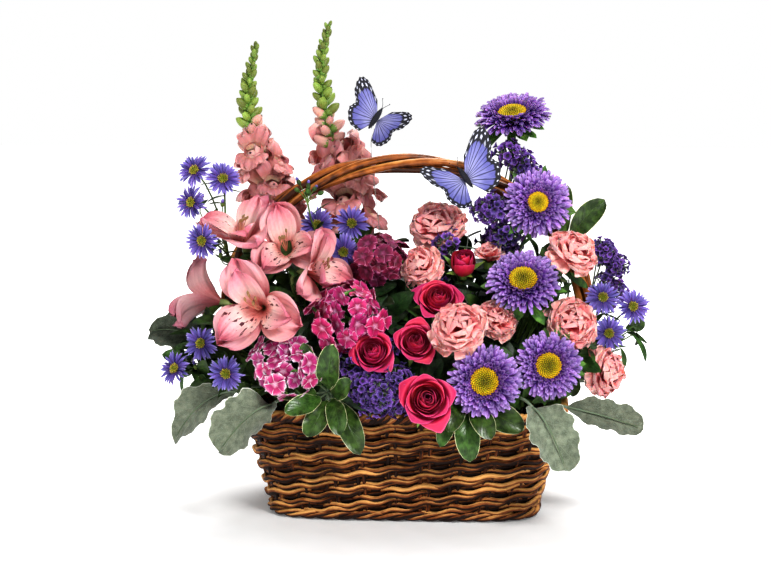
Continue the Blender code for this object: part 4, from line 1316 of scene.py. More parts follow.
def branch(start: Vector, back: Vector, way: Vector, radius: float, steps: int = 7) -> Grid:
    """A side branch from a stem to just behind a head that faces along way."""
    pull = (back - start).length * 0.4
    pulls = [np.array(v) for v in (start, start + Vector((0, 0, 0.5 * pull)), back - way * pull, back)]
    t = np.linspace(0.0, 1.0, steps)[:, None]
    s = 1.0 - t
    line = pulls[0] * s**3 + pulls[1] * (3 * s * s * t) + pulls[2] * (3 * s * t * t) + pulls[3] * t**3
    return rod(line, np.linspace(radius, 0.75 * radius, steps), 6)


@dataclass
class SmallAsterSpray:
    """A forked stem with a few small violet asters, some buds and narrow leaves.

    Args:
        node: the node it stands for.
        fork: where its stem forks.
        faces: the yaw and lift of each head, from left to right, in degrees.
        seed: the seed of its petals.
        radius: the radius of a head.
        leaves: how many leaves each branch has.
    """

    node: str
    fork: Place
    faces: tuple[tuple[float, float], ...]
    seed: int
    radius: float = 0.0165
    leaves: int = 9

    def finishes(self) -> list[Finish]:
        """The finishes, rays first."""
        stops = ((0.0, hue("44307e")), (0.4, hue("6450a8")), (0.8, hue("8a7acc")), (1.0, hue("bcb0e8")))
        rays = PetalFinish("small_aster_ray", stops, light=0.16, turn=0.01, streaks=0.25, fine=4.0)
        beads = ((0.0, hue("8e9a2e")), (0.5, hue("b8b43a")), (1.0, hue("d6c24a")))
        return [rays, Green.STEM.value, BeadFinish("small_aster_middle", beads), Green.FERN.value]

    def head(self, rng: np.random.Generator) -> Sheaf:
        """One head about the origin, facing +Z."""
        made, r = Sheaf(), self.radius
        rays = 38
        for i in range(rays):
            petal = Petal(
                r * 0.82 * rng.uniform(0.80, 1.08), r * 0.082, 6, 3, waist=0.5, widest=0.6, tip=0.5,
                stub=0.25,
                pitch=rng.normal(0.16, 0.14), bend=rng.normal(-0.25, 0.3), cup=0.8,
                sway=rng.normal(0, 0.18),
            )
            angle = 2 * math.pi * (i + rng.uniform(-0.25, 0.25)) / rays
            made.add(spray_of(petal, angle, 0.26 * r, rng.uniform(-0.05, 0.02) * r, rng), rng.random())
        for i in range(46):
            share = (i + 0.5) / 46
            out = 0.30 * r * math.sqrt(share)
            angle = i * GOLDEN_TURN
            place = Vector((out * math.cos(angle), out * math.sin(angle), r * (0.10 - 0.08 * share)))
            way = Vector((place.x / r, place.y / r, 1.0))
            made.add(bead(place, way, 0.035 * r, 0.11 * r, 4, 5), rng.random(), math.sqrt(share), 2, True)
        cup = np.array([(0, 0, z * r) for z in (-0.46, -0.40, -0.22, -0.02)])
        made.add(tube(cup, np.array((0.06, 0.16, 0.24, 0.27)) * r, 10), 0.5, slot=1, closed=True)
        return made

    def buds(self, rng: np.random.Generator) -> Sheaf:
        """A tuft of closed buds about the origin, pointing to +Z."""
        made, r = Sheaf(), self.radius
        for i in range(9):
            out = Vector((*rng.normal(0, 0.35, 2), rng.uniform(0.3, 1.0))).normalized()
            end = out * r * rng.uniform(0.2, 0.95)
            made.add(branch(Vector((0, 0, -0.4 * r)), end, out, 0.0006), 0.5, slot=1, closed=True)
            made.add(bead(end - out * 0.001, out, 0.0023, 0.0066, 7, 8), rng.random(), slot=3,
                     closed=True, span=(0.4, 1.0))
            if i % 3 == 0:
                made.add(bead(end + out * 0.0035, out, 0.0016, 0.0045, 6, 8), rng.random(), closed=True)
        return made

    def build(self) -> bpy.types.Object:
        """Makes the piece."""
        rng = np.random.default_rng(self.seed)
        sheaf, fork = Sheaf(), Vector(self.fork)
        line = STEMS.line(fork, Vector((0, 0, 1)), 16)
        sheaf.add(rod(line, STEMS.radius, 7), 0.5, slot=1, closed=True)
        for index, (place, (yaw, lift)) in enumerate(zip(knobs(self.node, self.radius, len(self.faces)),
                                                         self.faces)):
            way = facing(yaw, lift)
            if lift > 50:
                sheaf.place(self.buds(rng), stand(place, Vector((0, 0, 1))))
            else:
                sheaf.place(self.head(rng), stand(place, way, rng.uniform(0, 6.28)))
                FACES.append(Face(place, way, self.radius))
            joint = Vector(line[1 + index % 3])
            back = place - way * (0.40 * self.radius)
            sheaf.add(branch(joint, back, way, 0.0011), rng.random(), slot=1, closed=True)
            for _ in range(self.leaves):
                share = rng.uniform(0.05, 0.9)
                at = joint.lerp(back, share)
                out = facing(yaw + rng.uniform(-120, 120), 0)
                leaf = Petal(rng.uniform(0.012, 0.026), rng.uniform(0.0020, 0.0036), 8, 5, waist=0.4,
                             widest=0.45, tip=0.8,
                             pitch=rng.uniform(-0.2, 0.8), bend=rng.uniform(-0.9, 0.1), fold=0.4)
                grid = moved(leaf.grid(rng), stand(at, Vector((0, 0, 1)), math.atan2(out.y, out.x)))
                if not any(face.holds(grid) for face in FACES):
                    sheaf.add(grid, rng.random(), slot=3)
            bud = place.lerp(joint, 0.35) + Vector(rng.uniform(-0.008, 0.008, 3))
            up = Vector((*rng.normal(0, 0.4, 2), 1.0)).normalized()
            sheaf.add(branch(joint, bud, up, 0.0007), rng.random(), slot=1, closed=True)
            sheaf.add(bead(bud - up * 0.001, up, 0.0021, 0.0062, 7, 8), rng.random(), slot=1, closed=True)
            sheaf.add(bead(bud + up * 0.003, up, 0.0016, 0.0058, 6, 8), rng.random(), slot=0, closed=True)
        return settle(sheaf.build(self.node + ".spray", self.finishes()), "daisy_violet", self.node)


@dataclass
class Statice:
    """A stiff stem with tufts of tiny papery cups.

    Args:
        node: the node it stands for.
        fork: where its stem forks.
        tufts: how many tufts it has.
        radius: the radius of a tuft.
        seed: the seed of its cups.
        more: where its small side tufts are.
    """

    node: str
    fork: Place
    tufts: int
    radius: float
    seed: int
    more: tuple[Place, ...] = ()

    def finishes(self) -> list[Finish]:
        """The finishes, cups first."""
        stops = ((0.0, hue("4a5238")), (0.28, hue("381c60")), (0.7, hue("7046a6")), (1.0, hue("a27cce")))
        cups = PetalFinish("statice_cup", stops, hue("a592d8"), 0.07, light=0.28, turn=0.014, streaks=0.2,
                           fine=7.0)
        return [cups, Green.TWIG.value]

    def tuft(self, rng: np.random.Generator) -> Sheaf:
        """One tuft about the origin, pointing to +Z."""
        made, r = Sheaf(), 1.32 * self.radius
        for i in range(36):
            from_axis = math.acos(1.0 - 1.45 * (i + 0.5) / 36)
            angle = i * GOLDEN_TURN + rng.normal(0, 0.15)
            way = Vector((math.sin(from_axis) * math.cos(angle), math.sin(from_axis) * math.sin(angle),
                          math.cos(from_axis)))
            place = way * r * rng.uniform(0.50, 1.05)
            cup = Sheaf()
            tint, size = rng.random(), r * rng.uniform(0.29, 0.40)
            for k in range(5):
                petal = Petal(size * 0.9, size * 0.36, 5, 5, waist=0.35, widest=0.85, tip=0.3, pitch=1.05,
                              bend=-0.8,
                              fold=0.2, ruffle=0.12)
                cup.add(spray_of(petal, 2 * math.pi * k / 5 + rng.normal(0, 0.1), 0.10 * size, 0, rng),
                        tint)
            neck = np.array([(0, 0, z * size) for z in (-0.9, -0.5, 0.05)])
            cup.add(tube(neck, np.array((0.09, 0.15, 0.13)) * size, 5), tint, slot=1, closed=True)
            made.place(cup, stand(place, (way + Vector(rng.normal(0, 0.25, 3))).normalized(),
                                  rng.uniform(0, 6.28)))
            if i % 2:
                tip = np.array(place)
                twig = curve([(0, 0, -0.75 * r), 0.5 * tip + (0, 0, -0.2 * r), 0.9 * tip], 2)
                made.add(tube(twig, 0.035 * r, 5), rng.random(), slot=1, closed=True)
        return made

    def build(self) -> bpy.types.Object:
        """Makes the piece."""
        rng = np.random.default_rng(self.seed)
        sheaf, fork = Sheaf(), Vector(self.fork)
        line = STEMS.line(fork, Vector((0, 0, 1)), 16)
        sheaf.add(rod(line, 0.0013, 6), 0.5, slot=1, closed=True)
        places = knobs(self.node, self.radius, self.tufts)
        places += [place + Vector(rng.normal(0.0, 0.75 * self.radius, 3)) for place in places]
        for index, place in enumerate(places + [Vector(place) for place in self.more]):
            way = (place - fork).normalized()
            sheaf.place(self.tuft(rng), stand(place - way * 0.15 * self.radius, way, rng.uniform(0, 6.28)))
            joint = Vector(line[1 + index % 3])
            sheaf.add(branch(joint, place - way * 0.7 * self.radius, way, 0.0009), 0.5, slot=1, closed=True)
        return settle(sheaf.build(self.node + ".spray", self.finishes()), "statice_purple", self.node)


@dataclass
class Snapdragon:
    """A tall spike: open two-lipped florets low down, then green buds to the tip.

    Args:
        node: the node it stands for.
        axis: the controls of its stem, from the foam up.
        opened: where its open florets are, as shares of the stem.
        budded: where its buds are, as shares of the stem.
        size: the length of its lowest floret.
        seed: the seed of its florets.
    """

    node: str
    axis: tuple[Place, ...]
    opened: tuple[float, float]
    budded: tuple[float, float]
    size: float
    seed: int

    def finishes(self) -> list[Finish]:
        """The finishes, petals first."""
        stops = ((0.0, hue("dcc0a0")), (0.35, hue("cc8480")), (0.72, hue("de9498")), (1.0, hue("f2bcb8")))
        pale = ((0.0, hue("d8a878")), (0.5, hue("e8c4a4")), (1.0, hue("dea2a2")))
        petals = PetalFinish("snapdragon_lip", stops, light=0.12, turn=0.01, streaks=0.18, fine=9.0,
                             glow=0.2)
        palate = PetalFinish("snapdragon_palate", pale, light=0.08, streaks=0.1, fine=9.0, glow=0.2)
        return [petals, Green.BUD.value, palate, Green.CALYX.value]

    def floret(self, size: float, rng: np.random.Generator) -> Sheaf:
        """An open floret whose tube runs along +Z from the origin, upper lip to +X."""
        made = Sheaf()
        tint = rng.random()
        body = np.array([(0, 0, z * size) for z in (0.0, 0.15, 0.4, 0.62, 0.74)])
        made.add(tube(body, np.array((0.10, 0.20, 0.25, 0.30, 0.26)) * size, 12), tint, closed=True,
                 span=(0.0, 0.6))
        for side in (-1, 1):
            lip = Petal(size * rng.uniform(0.58, 0.72), size * 0.33, 11, 11, waist=0.5, widest=0.68,
                        tip=0.32,
                        pitch=1.25 + rng.normal(0, 0.15), bend=-1.2 + rng.normal(0, 0.3), cup=0.1,
                        ruffle=0.34, waves=2.3)
            made.add(spray_of(lip, 0.50 * side, 0.18 * size, 0.56 * size, rng), tint)
        for turn in (-0.8, 0.0, 0.8):
            lip = Petal(size * rng.uniform(0.44, 0.58), size * 0.25, 11, 11, waist=0.5, widest=0.68,
                        tip=0.32,
                        pitch=1.1, bend=-2.1 + rng.normal(0, 0.3), cup=-0.15, ruffle=0.34, waves=2.3)
            made.add(spray_of(lip, math.pi + turn, 0.20 * size, 0.58 * size, rng), tint)
        bump = bead((-0.10 * size, 0.0, 0.46 * size), Vector((-0.3, 0, 1)), 0.17 * size, 0.34 * size, 7, 9)
        made.add(bump, rng.random(), slot=2, closed=True)
        for i in range(5):
            sepal = Petal(size * 0.22, size * 0.09, 5, 3, waist=0.8, widest=0.4, tip=0.7, pitch=1.1,
                          bend=-0.2)
            made.add(spray_of(sepal, 2 * math.pi * i / 5, 0.07 * size, 0.0, rng), rng.random(), slot=3)
        return made

    def bud(self, size: float, share: float, rng: np.random.Generator) -> Sheaf:
        """A closed bud along +Z, with its sepals."""
        made = Sheaf()
        shape = bead((0, 0, 0), Vector((0, 0, 1)), 0.27 * size, size, 8, 10, 0.5)
        slot = 2 if share < 0.16 + 0.12 * rng.random() else 1
        made.add(shape, rng.random(), slot=slot, closed=True,
                 span=(0.15 + 0.5 * (1 - share), 0.95 - 0.25 * share))
        for i in range(5):
            sepal = Petal(size * 0.42, size * 0.15, 6, 5, waist=0.8, widest=0.45, tip=0.6, pitch=1.15,
                          bend=0.35, cup=0.3)
            made.add(spray_of(sepal, 2 * math.pi * i / 5 + rng.normal(0, 0.1), 0.15 * size, 0.02 * size,
                              rng), rng.random(), slot=3)
        return made

    def build(self) -> bpy.types.Object:
        """Makes the piece."""
        rng = np.random.default_rng(self.seed)
        sheaf = Sheaf()
        line = curve(self.axis, 24)
        count = len(line) - 1
        sheaf.add(rod(line, np.linspace(0.0024, 0.0011, len(line)), 8), 0.5, slot=3, closed=True)
        turn = rng.uniform(0, 6.28)
        for share in np.linspace(*self.opened, 12):
            turn = self._set(sheaf, line, share * count, turn, 0.62,
                             self.floret(self.size * rng.uniform(0.86, 1.10), rng))
        spread = np.linspace(0.0, 1.0, 46)
        for part in spread:
            share = self.budded[0] + (self.budded[1] - self.budded[0]) * part**0.92
            size = 0.0195 * (1.0 - 0.60 * part) * rng.uniform(0.82, 1.12)
            turn = self._set(sheaf, line, share * count, turn, 0.32 + 0.78 * part,
                             self.bud(size, part, rng))
        for share in rng.uniform(0.20, self.opened[0], 9):
            leaf = Petal(rng.uniform(0.022, 0.036), 0.0035, 9, 5, waist=0.4, widest=0.45, tip=0.8,
                         pitch=0.7, bend=-0.9, fold=0.3)
            blade = Sheaf()
            blade.add(leaf.grid(rng), rng.random(), slot=3)
            self._set(sheaf, line, share * count, rng.uniform(0, 6.28), 0.0, blade, True)
        return settle(sheaf.build(self.node + ".spike", self.finishes()), "snapdragon_pink", self.node)

    def _set(self, sheaf: Sheaf, line: Grid, step: float, turn: float, rise: float, part: Sheaf,
             flat: bool = False) -> float:
        """Sets a part on the stem.

        Args:
            sheaf: what it is added to.
            line: the stem's points.
            step: how many points along it the part stands.
            turn: which way round the stem it faces, in radians.
            rise: how steeply it rises from the level, in radians.
            part: the part.
            flat: whether it grows along its own +X, as a leaf does.

        Returns:
            The turn of the next part.
        """
        low = min(int(step), len(line) - 2)
        place = line[low] + (line[low + 1] - line[low]) * (step - low)
        if flat:
            sheaf.place(part, stand(Vector(place), Vector((0, 0, 1)), turn))
            return turn
        out = Vector((math.cos(turn) * math.cos(rise), math.sin(turn) * math.cos(rise), math.sin(rise)))
        axis = Vector(line[low + 1] - line[low]).normalized()
        out = (out + axis * 0.2).normalized()
        sheaf.place(part, stand(Vector(place) + out * 0.0012, out))
        return turn + GOLDEN_TURN


@dataclass
class Ribbed:
    """Leaves that follow a rib through three points, and stand for a node.

    Args:
        node: the node.
        ribs: the root, middle and tip of each leaf, and its width.
        face: the yaw and lift their upper sides face, in degrees.
        seed: the seed of their waves.
    """

    node: str
    ribs: tuple[tuple[Place, Place, Place, float], ...]
    face: tuple[float, float]
    seed: int

    def blade(self, rib: tuple, lobes: float, cup: float, wave: float, rng: np.random.Generator) -> Grid:
        """One leaf.

        Args:
            rib: its root, middle, tip and width.
            lobes: how deep its lobes are, as a share of its width.
            cup: how far its sides lift, as a share of its width.
            wave: how high the waves of its margin are, as a share of its width.
            rng: where its waves come from.

        Returns:
            The leaf's points.
        """
        root, middle, tip, width = rib
        t = np.linspace(0.0, 1.0, 41 if lobes else 17)[:, None]
        line = np.array(root) * (1 - t) ** 2 + np.array(middle) * 2 * t * (1 - t) + np.array(tip) * t**2
        face = np.array(facing(*self.face))
        side = np.cross(np.array(tip) - np.array(root), face)
        side /= np.linalg.norm(side)
        ahead = np.gradient(line, axis=0)
        up = np.cross(side[None], ahead)
        up /= np.linalg.norm(up, axis=1)[:, None]
        s = np.linspace(-1.0, 1.0, 15 if lobes else 9)[None, :, None]
        t = t[:, :, None]
        if lobes:
            half = np.sin(np.pi * np.clip(t, 0.0, 1.0) ** 1.25) ** 0.50
            scallop = np.abs(np.sin(np.pi * (4.5 * t - 0.25)))
            half = half * (1 - lobes * scallop**3.0) * (1 - 0.05 * np.abs(np.sin(np.pi * 13 * t)))
        else:
            half = np.sin(np.pi * t**1.25) ** 0.5
        half = 0.5 * width * np.maximum(half, 0.035)
        phase = rng.uniform(0, 6.28)
        lift = cup * half * (s**2 - 0.3) + wave * width * s**2 * np.sin(11 * t + phase + 1.5 * np.sign(s))
        slide = 0.16 * half * np.abs(s) * (1 if lobes else 0.3)
        ahead = (ahead / np.linalg.norm(ahead, axis=1)[:, None])[:, None]
        return line[:, None] + side * half * s + up[:, None] * lift + ahead * slide * (1 - t)


@dataclass
class DustyMiller(Ribbed):
    """A silver, felted leaf with round lobes.

    Args:
        shaded: whether it is one of the darker leaves.
    """

    shaded: bool = False

    def build(self) -> bpy.types.Object:
        """Makes the piece: the leaf and its stalk."""
        rng = np.random.default_rng(self.seed)
        sheaf = Sheaf()
        for rib in self.ribs:
            sheaf.add(self.blade(rib, 0.16, 0.55, 0.09, rng), rng.random())
            root, tip = Vector(rib[0]), Vector(rib[2])
            way = (tip - root).normalized()
            sheaf.add(STEMS.skin(root + way * 0.004, way, 0.0015), 0.5, slot=1, closed=True)
            t = np.linspace(0.0, 0.93, 14)[:, None]
            arched = np.array(rib[1]) * 2 * t * (1 - t)
            spine = np.array(rib[0]) * (1 - t) ** 2 + arched + np.array(rib[2]) * t**2
            sheaf.add(tube(spine - 0.0004 * np.array(facing(*self.face)), np.linspace(0.0012, 0.0004, 14),
                           6), 0.5, slot=1,
                      closed=True)
        finish = Green.SHADED.value if self.shaded else Green.SILVER.value
        return settle(sheaf.build(self.node + ".leaf", [finish, Green.TWIG.value]), "silver_leaf",
                      self.node)


@dataclass
class Pittosporum(Ribbed):
    """A twig of glossy leaves with a wavy cream margin.

    Args:
        fork: where its leaves join the twig.
    """

    fork: Place = (0.0, 0.0, 0.0)

    def build(self) -> bpy.types.Object:
        """Makes the piece: the twig and its leaves."""
        rng = np.random.default_rng(self.seed)
        sheaf, fork = Sheaf(), Vector(self.fork)
        sheaf.add(STEMS.skin(fork, Vector((0, 0, 1)), 0.0013), 0.5, slot=1, closed=True)
        for _, middle, tip, width in self.ribs:
            root = fork.lerp(Vector(middle), 0.35)
            sheaf.add(self.blade((root, middle, tip, 1.2 * width), 0.0, 0.24, 0.06, rng), rng.random())
            sheaf.add(branch(fork, root, (root - fork).normalized(), 0.0010), 0.5, slot=1, closed=True)
        return settle(sheaf.build(self.node + ".twig", [Green.EDGED.value, Green.TWIG.value]),
                      "edged_leaf", self.node)


@dataclass
class Butterfly:
    """A feather butterfly on a wire pick.

    Args:
        number: its number.
        centre: the middle of its body.
        ahead: the way its head points.
        wings: the way its left and its right wing point.
        reach: how far a wing reaches.
        wire: the points of its wire, from the body down.
    """

    number: int
    centre: Place
    ahead: Place
    wings: tuple[Place, Place]
    reach: float
    wire: tuple[Place, ...]
    outline: tuple[tuple[float, float], ...] = (
        (-0.02, 0.08), (0.30, 0.42), (0.80, 0.72), (1.05, 0.66), (0.98, 0.30), (0.78, 0.05), (0.84, -0.20),
        (0.62, -0.52), (0.26, -0.58), (-0.02, -0.20),
    )

    def _wing(self, out: Vector, rng: np.random.Generator) -> Grid:
        """One wing, with rows from its root to its margin and columns from its front to its back."""
        ahead, out = Vector(self.ahead).normalized(), Vector(out).normalized()
        side = (out - ahead * out.dot(ahead)).normalized()
        normal = np.array(ahead.cross(side))
        edge = curve([(*point, 0.0) for point in self.outline[1:-1]], 7)[:, :2]
        edge *= 1.0 + 0.018 * np.sin(np.arange(len(edge)) * 1.9)[:, None]
        root = np.array((0.0, -0.04))
        t = np.linspace(0.03, 1.0, 15)[:, None, None]
        flat = root + (edge[None] - root) * t
        ripple = np.sin(4.0 * edge[None, :, 1] + rng.uniform(0, 6))
        lift = 0.05 * (flat[..., 0] ** 2) + 0.012 * t[..., 0] * ripple
        points = np.array(side) * flat[..., :1] + np.array(ahead) * flat[..., 1:] + normal * lift[..., None]
        return np.array(self.centre) + self.reach * points

    def build(self) -> list[bpy.types.Object]:
        """Makes its wings, its body with feelers, and its wire."""
        rng = np.random.default_rng(700 + self.number)
        name = f"butterfly_{self.number}_"
        ahead = Vector(self.ahead).normalized()
        spread = (Vector(self.wings[0]).normalized() + Vector(self.wings[1]).normalized())
        back = (spread - ahead * spread.dot(ahead)).normalized()
        wings = Sheaf()
        for out in self.wings:
            wings.add(self._wing(Vector(out), rng), rng.random())
        dark = PlainFinish("butterfly_fuzz", hue("101014"), hue("34343e"), 1800.0, 0.0006, 0.85)
        body = Sheaf()
        middle = knobs(name + "body", 0.02)[0]
        start = middle - ahead * 0.012
        t = np.linspace(0.0, 1.0, 15)
        taper = 0.72 + 0.42 * np.sin(2.2 * t + 0.2)
        sizes = 0.0027 * (np.sin(np.pi * np.clip(t, 0.03, 0.97)) ** 0.5) * taper
        line = np.array(start)[None] + np.array(ahead)[None] * (0.024 * t[:, None])
        body.add(tube(line, sizes, 12), 0.5, closed=True)
        for _ in range(90):
            share, turn = rng.uniform(0.08, 0.95), rng.uniform(0, 6.28)
            side = back.cross(ahead)
            out = (back * math.cos(turn) + side * math.sin(turn) - ahead * 0.5).normalized()
            at = start + ahead * (0.024 * share)
            hair = np.array([at + out * d for d in (0.0012, 0.0024, 0.0031)])
            body.add(tube(hair, (0.00022, 0.00014, 0.00003), 4), rng.random(), closed=True)
        for side in (-1, 1):
            root = start + ahead * 0.0235
            out = back.cross(ahead) * side
            knee = root + ahead * 0.004 + out * 0.002
            end = root + ahead * 0.008 + out * 0.005 + back * 0.001
            feeler = curve([root, knee, end], 4)
            body.add(tube(feeler, np.linspace(0.0003, 0.0002, len(feeler)), 5), 0.5, closed=True)
            body.add(bead(feeler[-1], ahead, 0.0005, 0.0012, 5, 6), 0.5, closed=True)
        wire = Sheaf()
        wire.add(rod(curve(self.wire, 10), 0.0003, 8), 0.5, closed=True)
        steel = PlainFinish("pick_wire", hue("9aa29a"), hue("c4cac2"), 900.0, 0.0002, 0.45, 0.2)
        return [
            settle(wings.build(name + "wings.feather", [WingFinish("feather_wing")]), "wing",
                   name + "wings"),
            settle(body.build(name + "body.fuzz", [dark]), "butterfly_body", name + "body"),
            settle(wire.build(name + "wire.pick", [steel]), "wire", name + "wire"),
        ]


@dataclass
class Basket:
    """The willow basket: its woven wall and base, its rolled border and its twisted handle.

    Args:
        length: its length at the border.
        width: its width at the border.
        height: the height of the border's middle.
        base_length: its length at the base.
        base_width: its width at the base.
        corner: how square its plan is.
        layers: how many layers of weavers the wall has.
        stakes: how many upright stakes it has.
        weaver: the radius of a weaver.
    """

    length: float = 0.320
    width: float = 0.210
    height: float = 0.106
    base_length: float = 0.266
    base_width: float = 0.160
    corner: float = 5.0
    layers: int = 13
    stakes: int = 27
    weaver: float = 0.0025
    seed: int = 41
    stain: WillowFinish = WillowFinish("stained_willow", hue("260f05"), hue("985426"), hue("f6bc72"),
                                       0.58, 0.0, 0.30)
    peeled: WillowFinish = WillowFinish("handle_willow", hue("44200c"), hue("b06628"), hue("f0b468"),
                                        0.36, 0.3, 0.12)
    # A near-black finish for the skins behind the weave: painted shade seen through the gaps.
    inside: PlainFinish = PlainFinish("painted_shade_inside", hue("100704"), hue("241008"), 240.0, 0.001, 0.8)

    def ring(self, turn: Grid, height: Grid, out: Grid | float = 0.0) -> Grid:
        """Points round the basket.

        Args:
            turn: how far round each point is, in turns.
            height: its height.
            out: how far outside the middle of the wall it is.

        Returns:
            The points.
        """
        share = np.clip(height / self.height, 0.0, 1.1)
        fine = np.linspace(0.0, 2 * math.pi, 1441)
        power = 2.0 / self.corner
        shape = np.stack((np.sign(np.cos(fine)) * np.abs(np.cos(fine)) ** power,
                          np.sign(np.sin(fine)) * np.abs(np.sin(fine)) ** power), axis=-1)
        middle = shape * np.array((self.length - 0.02, self.width - 0.02)) / 2
        walked = np.concatenate(((0.0,), np.cumsum(np.linalg.norm(np.diff(middle, axis=0), axis=1))))
        at = (np.asarray(turn) % 1.0) * walked[-1]
        unit = np.stack([np.interp(at, walked, shape[:, k]) for k in (0, 1)], axis=-1)
        half = np.stack((self.base_length + (self.length - self.base_length) * share,
                         self.base_width + (self.width - self.base_width) * share), axis=-1) / 2 - 0.0048
        flat = unit * half
        bevel = 2.0 * (self.corner - 1.0)
        normal = np.sign(unit) * np.abs(unit) ** (bevel / 2.0) / half
        normal /= np.linalg.norm(normal, axis=-1, keepdims=True)
        flat = flat + normal * np.broadcast_to(out, np.shape(share))[..., None]
        return np.concatenate((flat, np.asarray(height)[..., None]), axis=-1)

    def wall(self) -> bpy.types.Object:
        """The woven wall: short weavers over the stakes, on a dark inner skin of painted shade."""
        rng = np.random.default_rng(self.seed)
        made = Sheaf()
        low, top = 0.0115, self.height - 0.0075
        pitch = (top - low) / (self.layers - 1)
        for layer in range(self.layers):
            for stake in range(self.stakes):
                if (stake + layer) % 2:
                    t = np.linspace(-0.75, 0.75, 9)
                    height = low + pitch * (layer + 0.46 * t)
                    path = self.ring((stake + t) / self.stakes,
                                     np.clip(height, 0.005, self.height - 0.003), -0.0026)
                    # These set-back rods get a low tint and rank 0, so the willow finish paints them darker:
                    # painted shade in the gaps.
                    made.add(rod(path, 0.0021, 7), 0.5 * rng.random(), 0.0, closed=True)
                    continue
                reach = rng.uniform(1.25, 1.45)
                t = np.linspace(-reach, reach, 19)
                turn = (stake + 0.05 * rng.normal() + t) / self.stakes
                slant = pitch * (0.44 * t + 0.10 * rng.normal()) + 0.0015 * np.cos(2 * math.pi * t)
                height = low + pitch * layer + slant + 0.0004 * rng.normal()
                out = 0.0040 * np.cos(0.5 * math.pi * t / 1.05) - 0.0008 + 0.0005 * rng.normal()
                size = self.weaver * rng.uniform(0.86, 1.10) * (1 - 0.10 * np.abs(t) ** 3)
                path = self.ring(turn, np.clip(height, 0.005, self.height - 0.003), out)
                made.add(rod(path, size, 8), rng.random(), rng.uniform(0.2, 1.0), closed=True)
        for stake in range(self.stakes):
            for side in (-0.12, 0.12):
                height = np.linspace(0.004, self.height - 0.002, 20)
                turn = np.full(20, (stake + side + 0.02 * rng.normal()) / self.stakes)
                path = self.ring(turn, height, -0.0008)
                made.add(rod(path, 0.0021, 7), rng.random(), rng.uniform(0.0, 0.5), closed=True)
        # Two dark skins behind the weave: painted shade seen through the gaps.
        around = np.linspace(0.0, 1.0, 160, endpoint=False)
        for out, tilt in ((-0.0022, 1), (-0.0030, -1)):
            levels = np.linspace(0.004, self.height - 0.004, 8)
            rows = [self.ring(around, np.full(160, level), out) for level in levels]
            made.add(np.array(rows[::tilt]), 0.3, 0.2, 1, closed=True)
        return settle(made.build("basket_wall.weave", [self.stain, self.inside]), "willow", "basket_wall")

    def twist(self, made: Sheaf, height: float, out: float, pitch_radius: float, size: float, rods: int,
              turns: int, rng: np.random.Generator) -> None:
        """Adds rods twisted together all round the basket.

        Args:
            made: what they are added to.
            height: the height of their middle.
            out: how far outside the middle of the wall their middle is.
            pitch_radius: how far each rod is from their middle.
            size: the radius of a rod.
            rods: how many rods there are.
            turns: how often they turn in one round.
            rng: where their differences come from.
        """
        steps = turns * 14
        around = np.linspace(0.0, 1.0, steps, endpoint=False)
        for index in range(rods):
            angle = 2 * math.pi * (turns * around + index / rods)
            path = self.ring(around, height + pitch_radius * np.sin(angle),
                             out + pitch_radius * np.cos(angle))
            pieces = max(3, turns // 5)
            for start in range(pieces):
                low, high = start * steps // pieces, (start + 1) * steps // pieces
                part = path[np.arange(low, high + 2) % steps]
                made.add(rod(part, size * rng.uniform(0.94, 1.08), 8), rng.random(),
                         rng.uniform(0.2, 0.9), closed=True)

    def border(self) -> bpy.types.Object:
        """The rolled border."""
        rng = np.random.default_rng(self.seed + 1)
        made = Sheaf()
        self.twist(made, self.height, 0.0012, 0.0030, 0.0030, 4, 38, rng)
        return settle(made.build("basket_border.roll", [self.stain]), "willow_rod", "basket_border")

    def base(self) -> bpy.types.Object:
        """The woven base with the wale round its edge."""
        rng = np.random.default_rng(self.seed + 2)
        made = Sheaf()
        self.twist(made, 0.0052, 0.0024, 0.0024, 0.0023, 3, 15, rng)
        half_long, half_wide = self.base_length / 2 - 0.006, self.base_width / 2 - 0.006
        slats, weavers = 23, 11
        for row in range(weavers):
            y = half_wide * (2 * (row + 0.5) / weavers - 1)
            reach = half_long * (1 - abs(y / half_wide) ** self.corner) ** (1 / self.corner)
            x = np.linspace(-reach, reach, 100)
            wave = 0.0013 * np.cos(math.pi * (x / (2 * half_long / slats) + row))
            path = np.stack((x, np.full(100, y), 0.0038 + wave), axis=-1)
            made.add(rod(path, 0.0024, 7), rng.random(), rng.random(), closed=True)
        for row in range(slats):
            x = half_long * (2 * (row + 0.5) / slats - 1)
            reach = half_wide * (1 - abs(x / half_long) ** self.corner) ** (1 / self.corner)
            y = np.linspace(-reach, reach, 24)
            wave = -0.0012 * np.cos(math.pi * (y / (2 * half_wide / weavers) + 0.5 + row))
            path = np.stack((np.full(24, x), y, 0.0038 + wave), axis=-1)
            made.add(rod(path, 0.0024, 7), rng.random(), rng.random(), closed=True)
        # A dark disc over the base inside: painted shade on the inner floor.
        t = np.linspace(0.02, 1.0, 12)[:, None, None]
        edge = self.ring(np.linspace(0, 1, 64, endpoint=False), np.full(64, 0.0045), -0.001)
        made.add(edge * t * np.array((1, 1, 0)) + np.array((0, 0, 0.0048)), 0.4, 0.3, 1, closed=True)
        return settle(made.build("basket_base.weave", [self.stain, self.inside]), "willow", "basket_base")

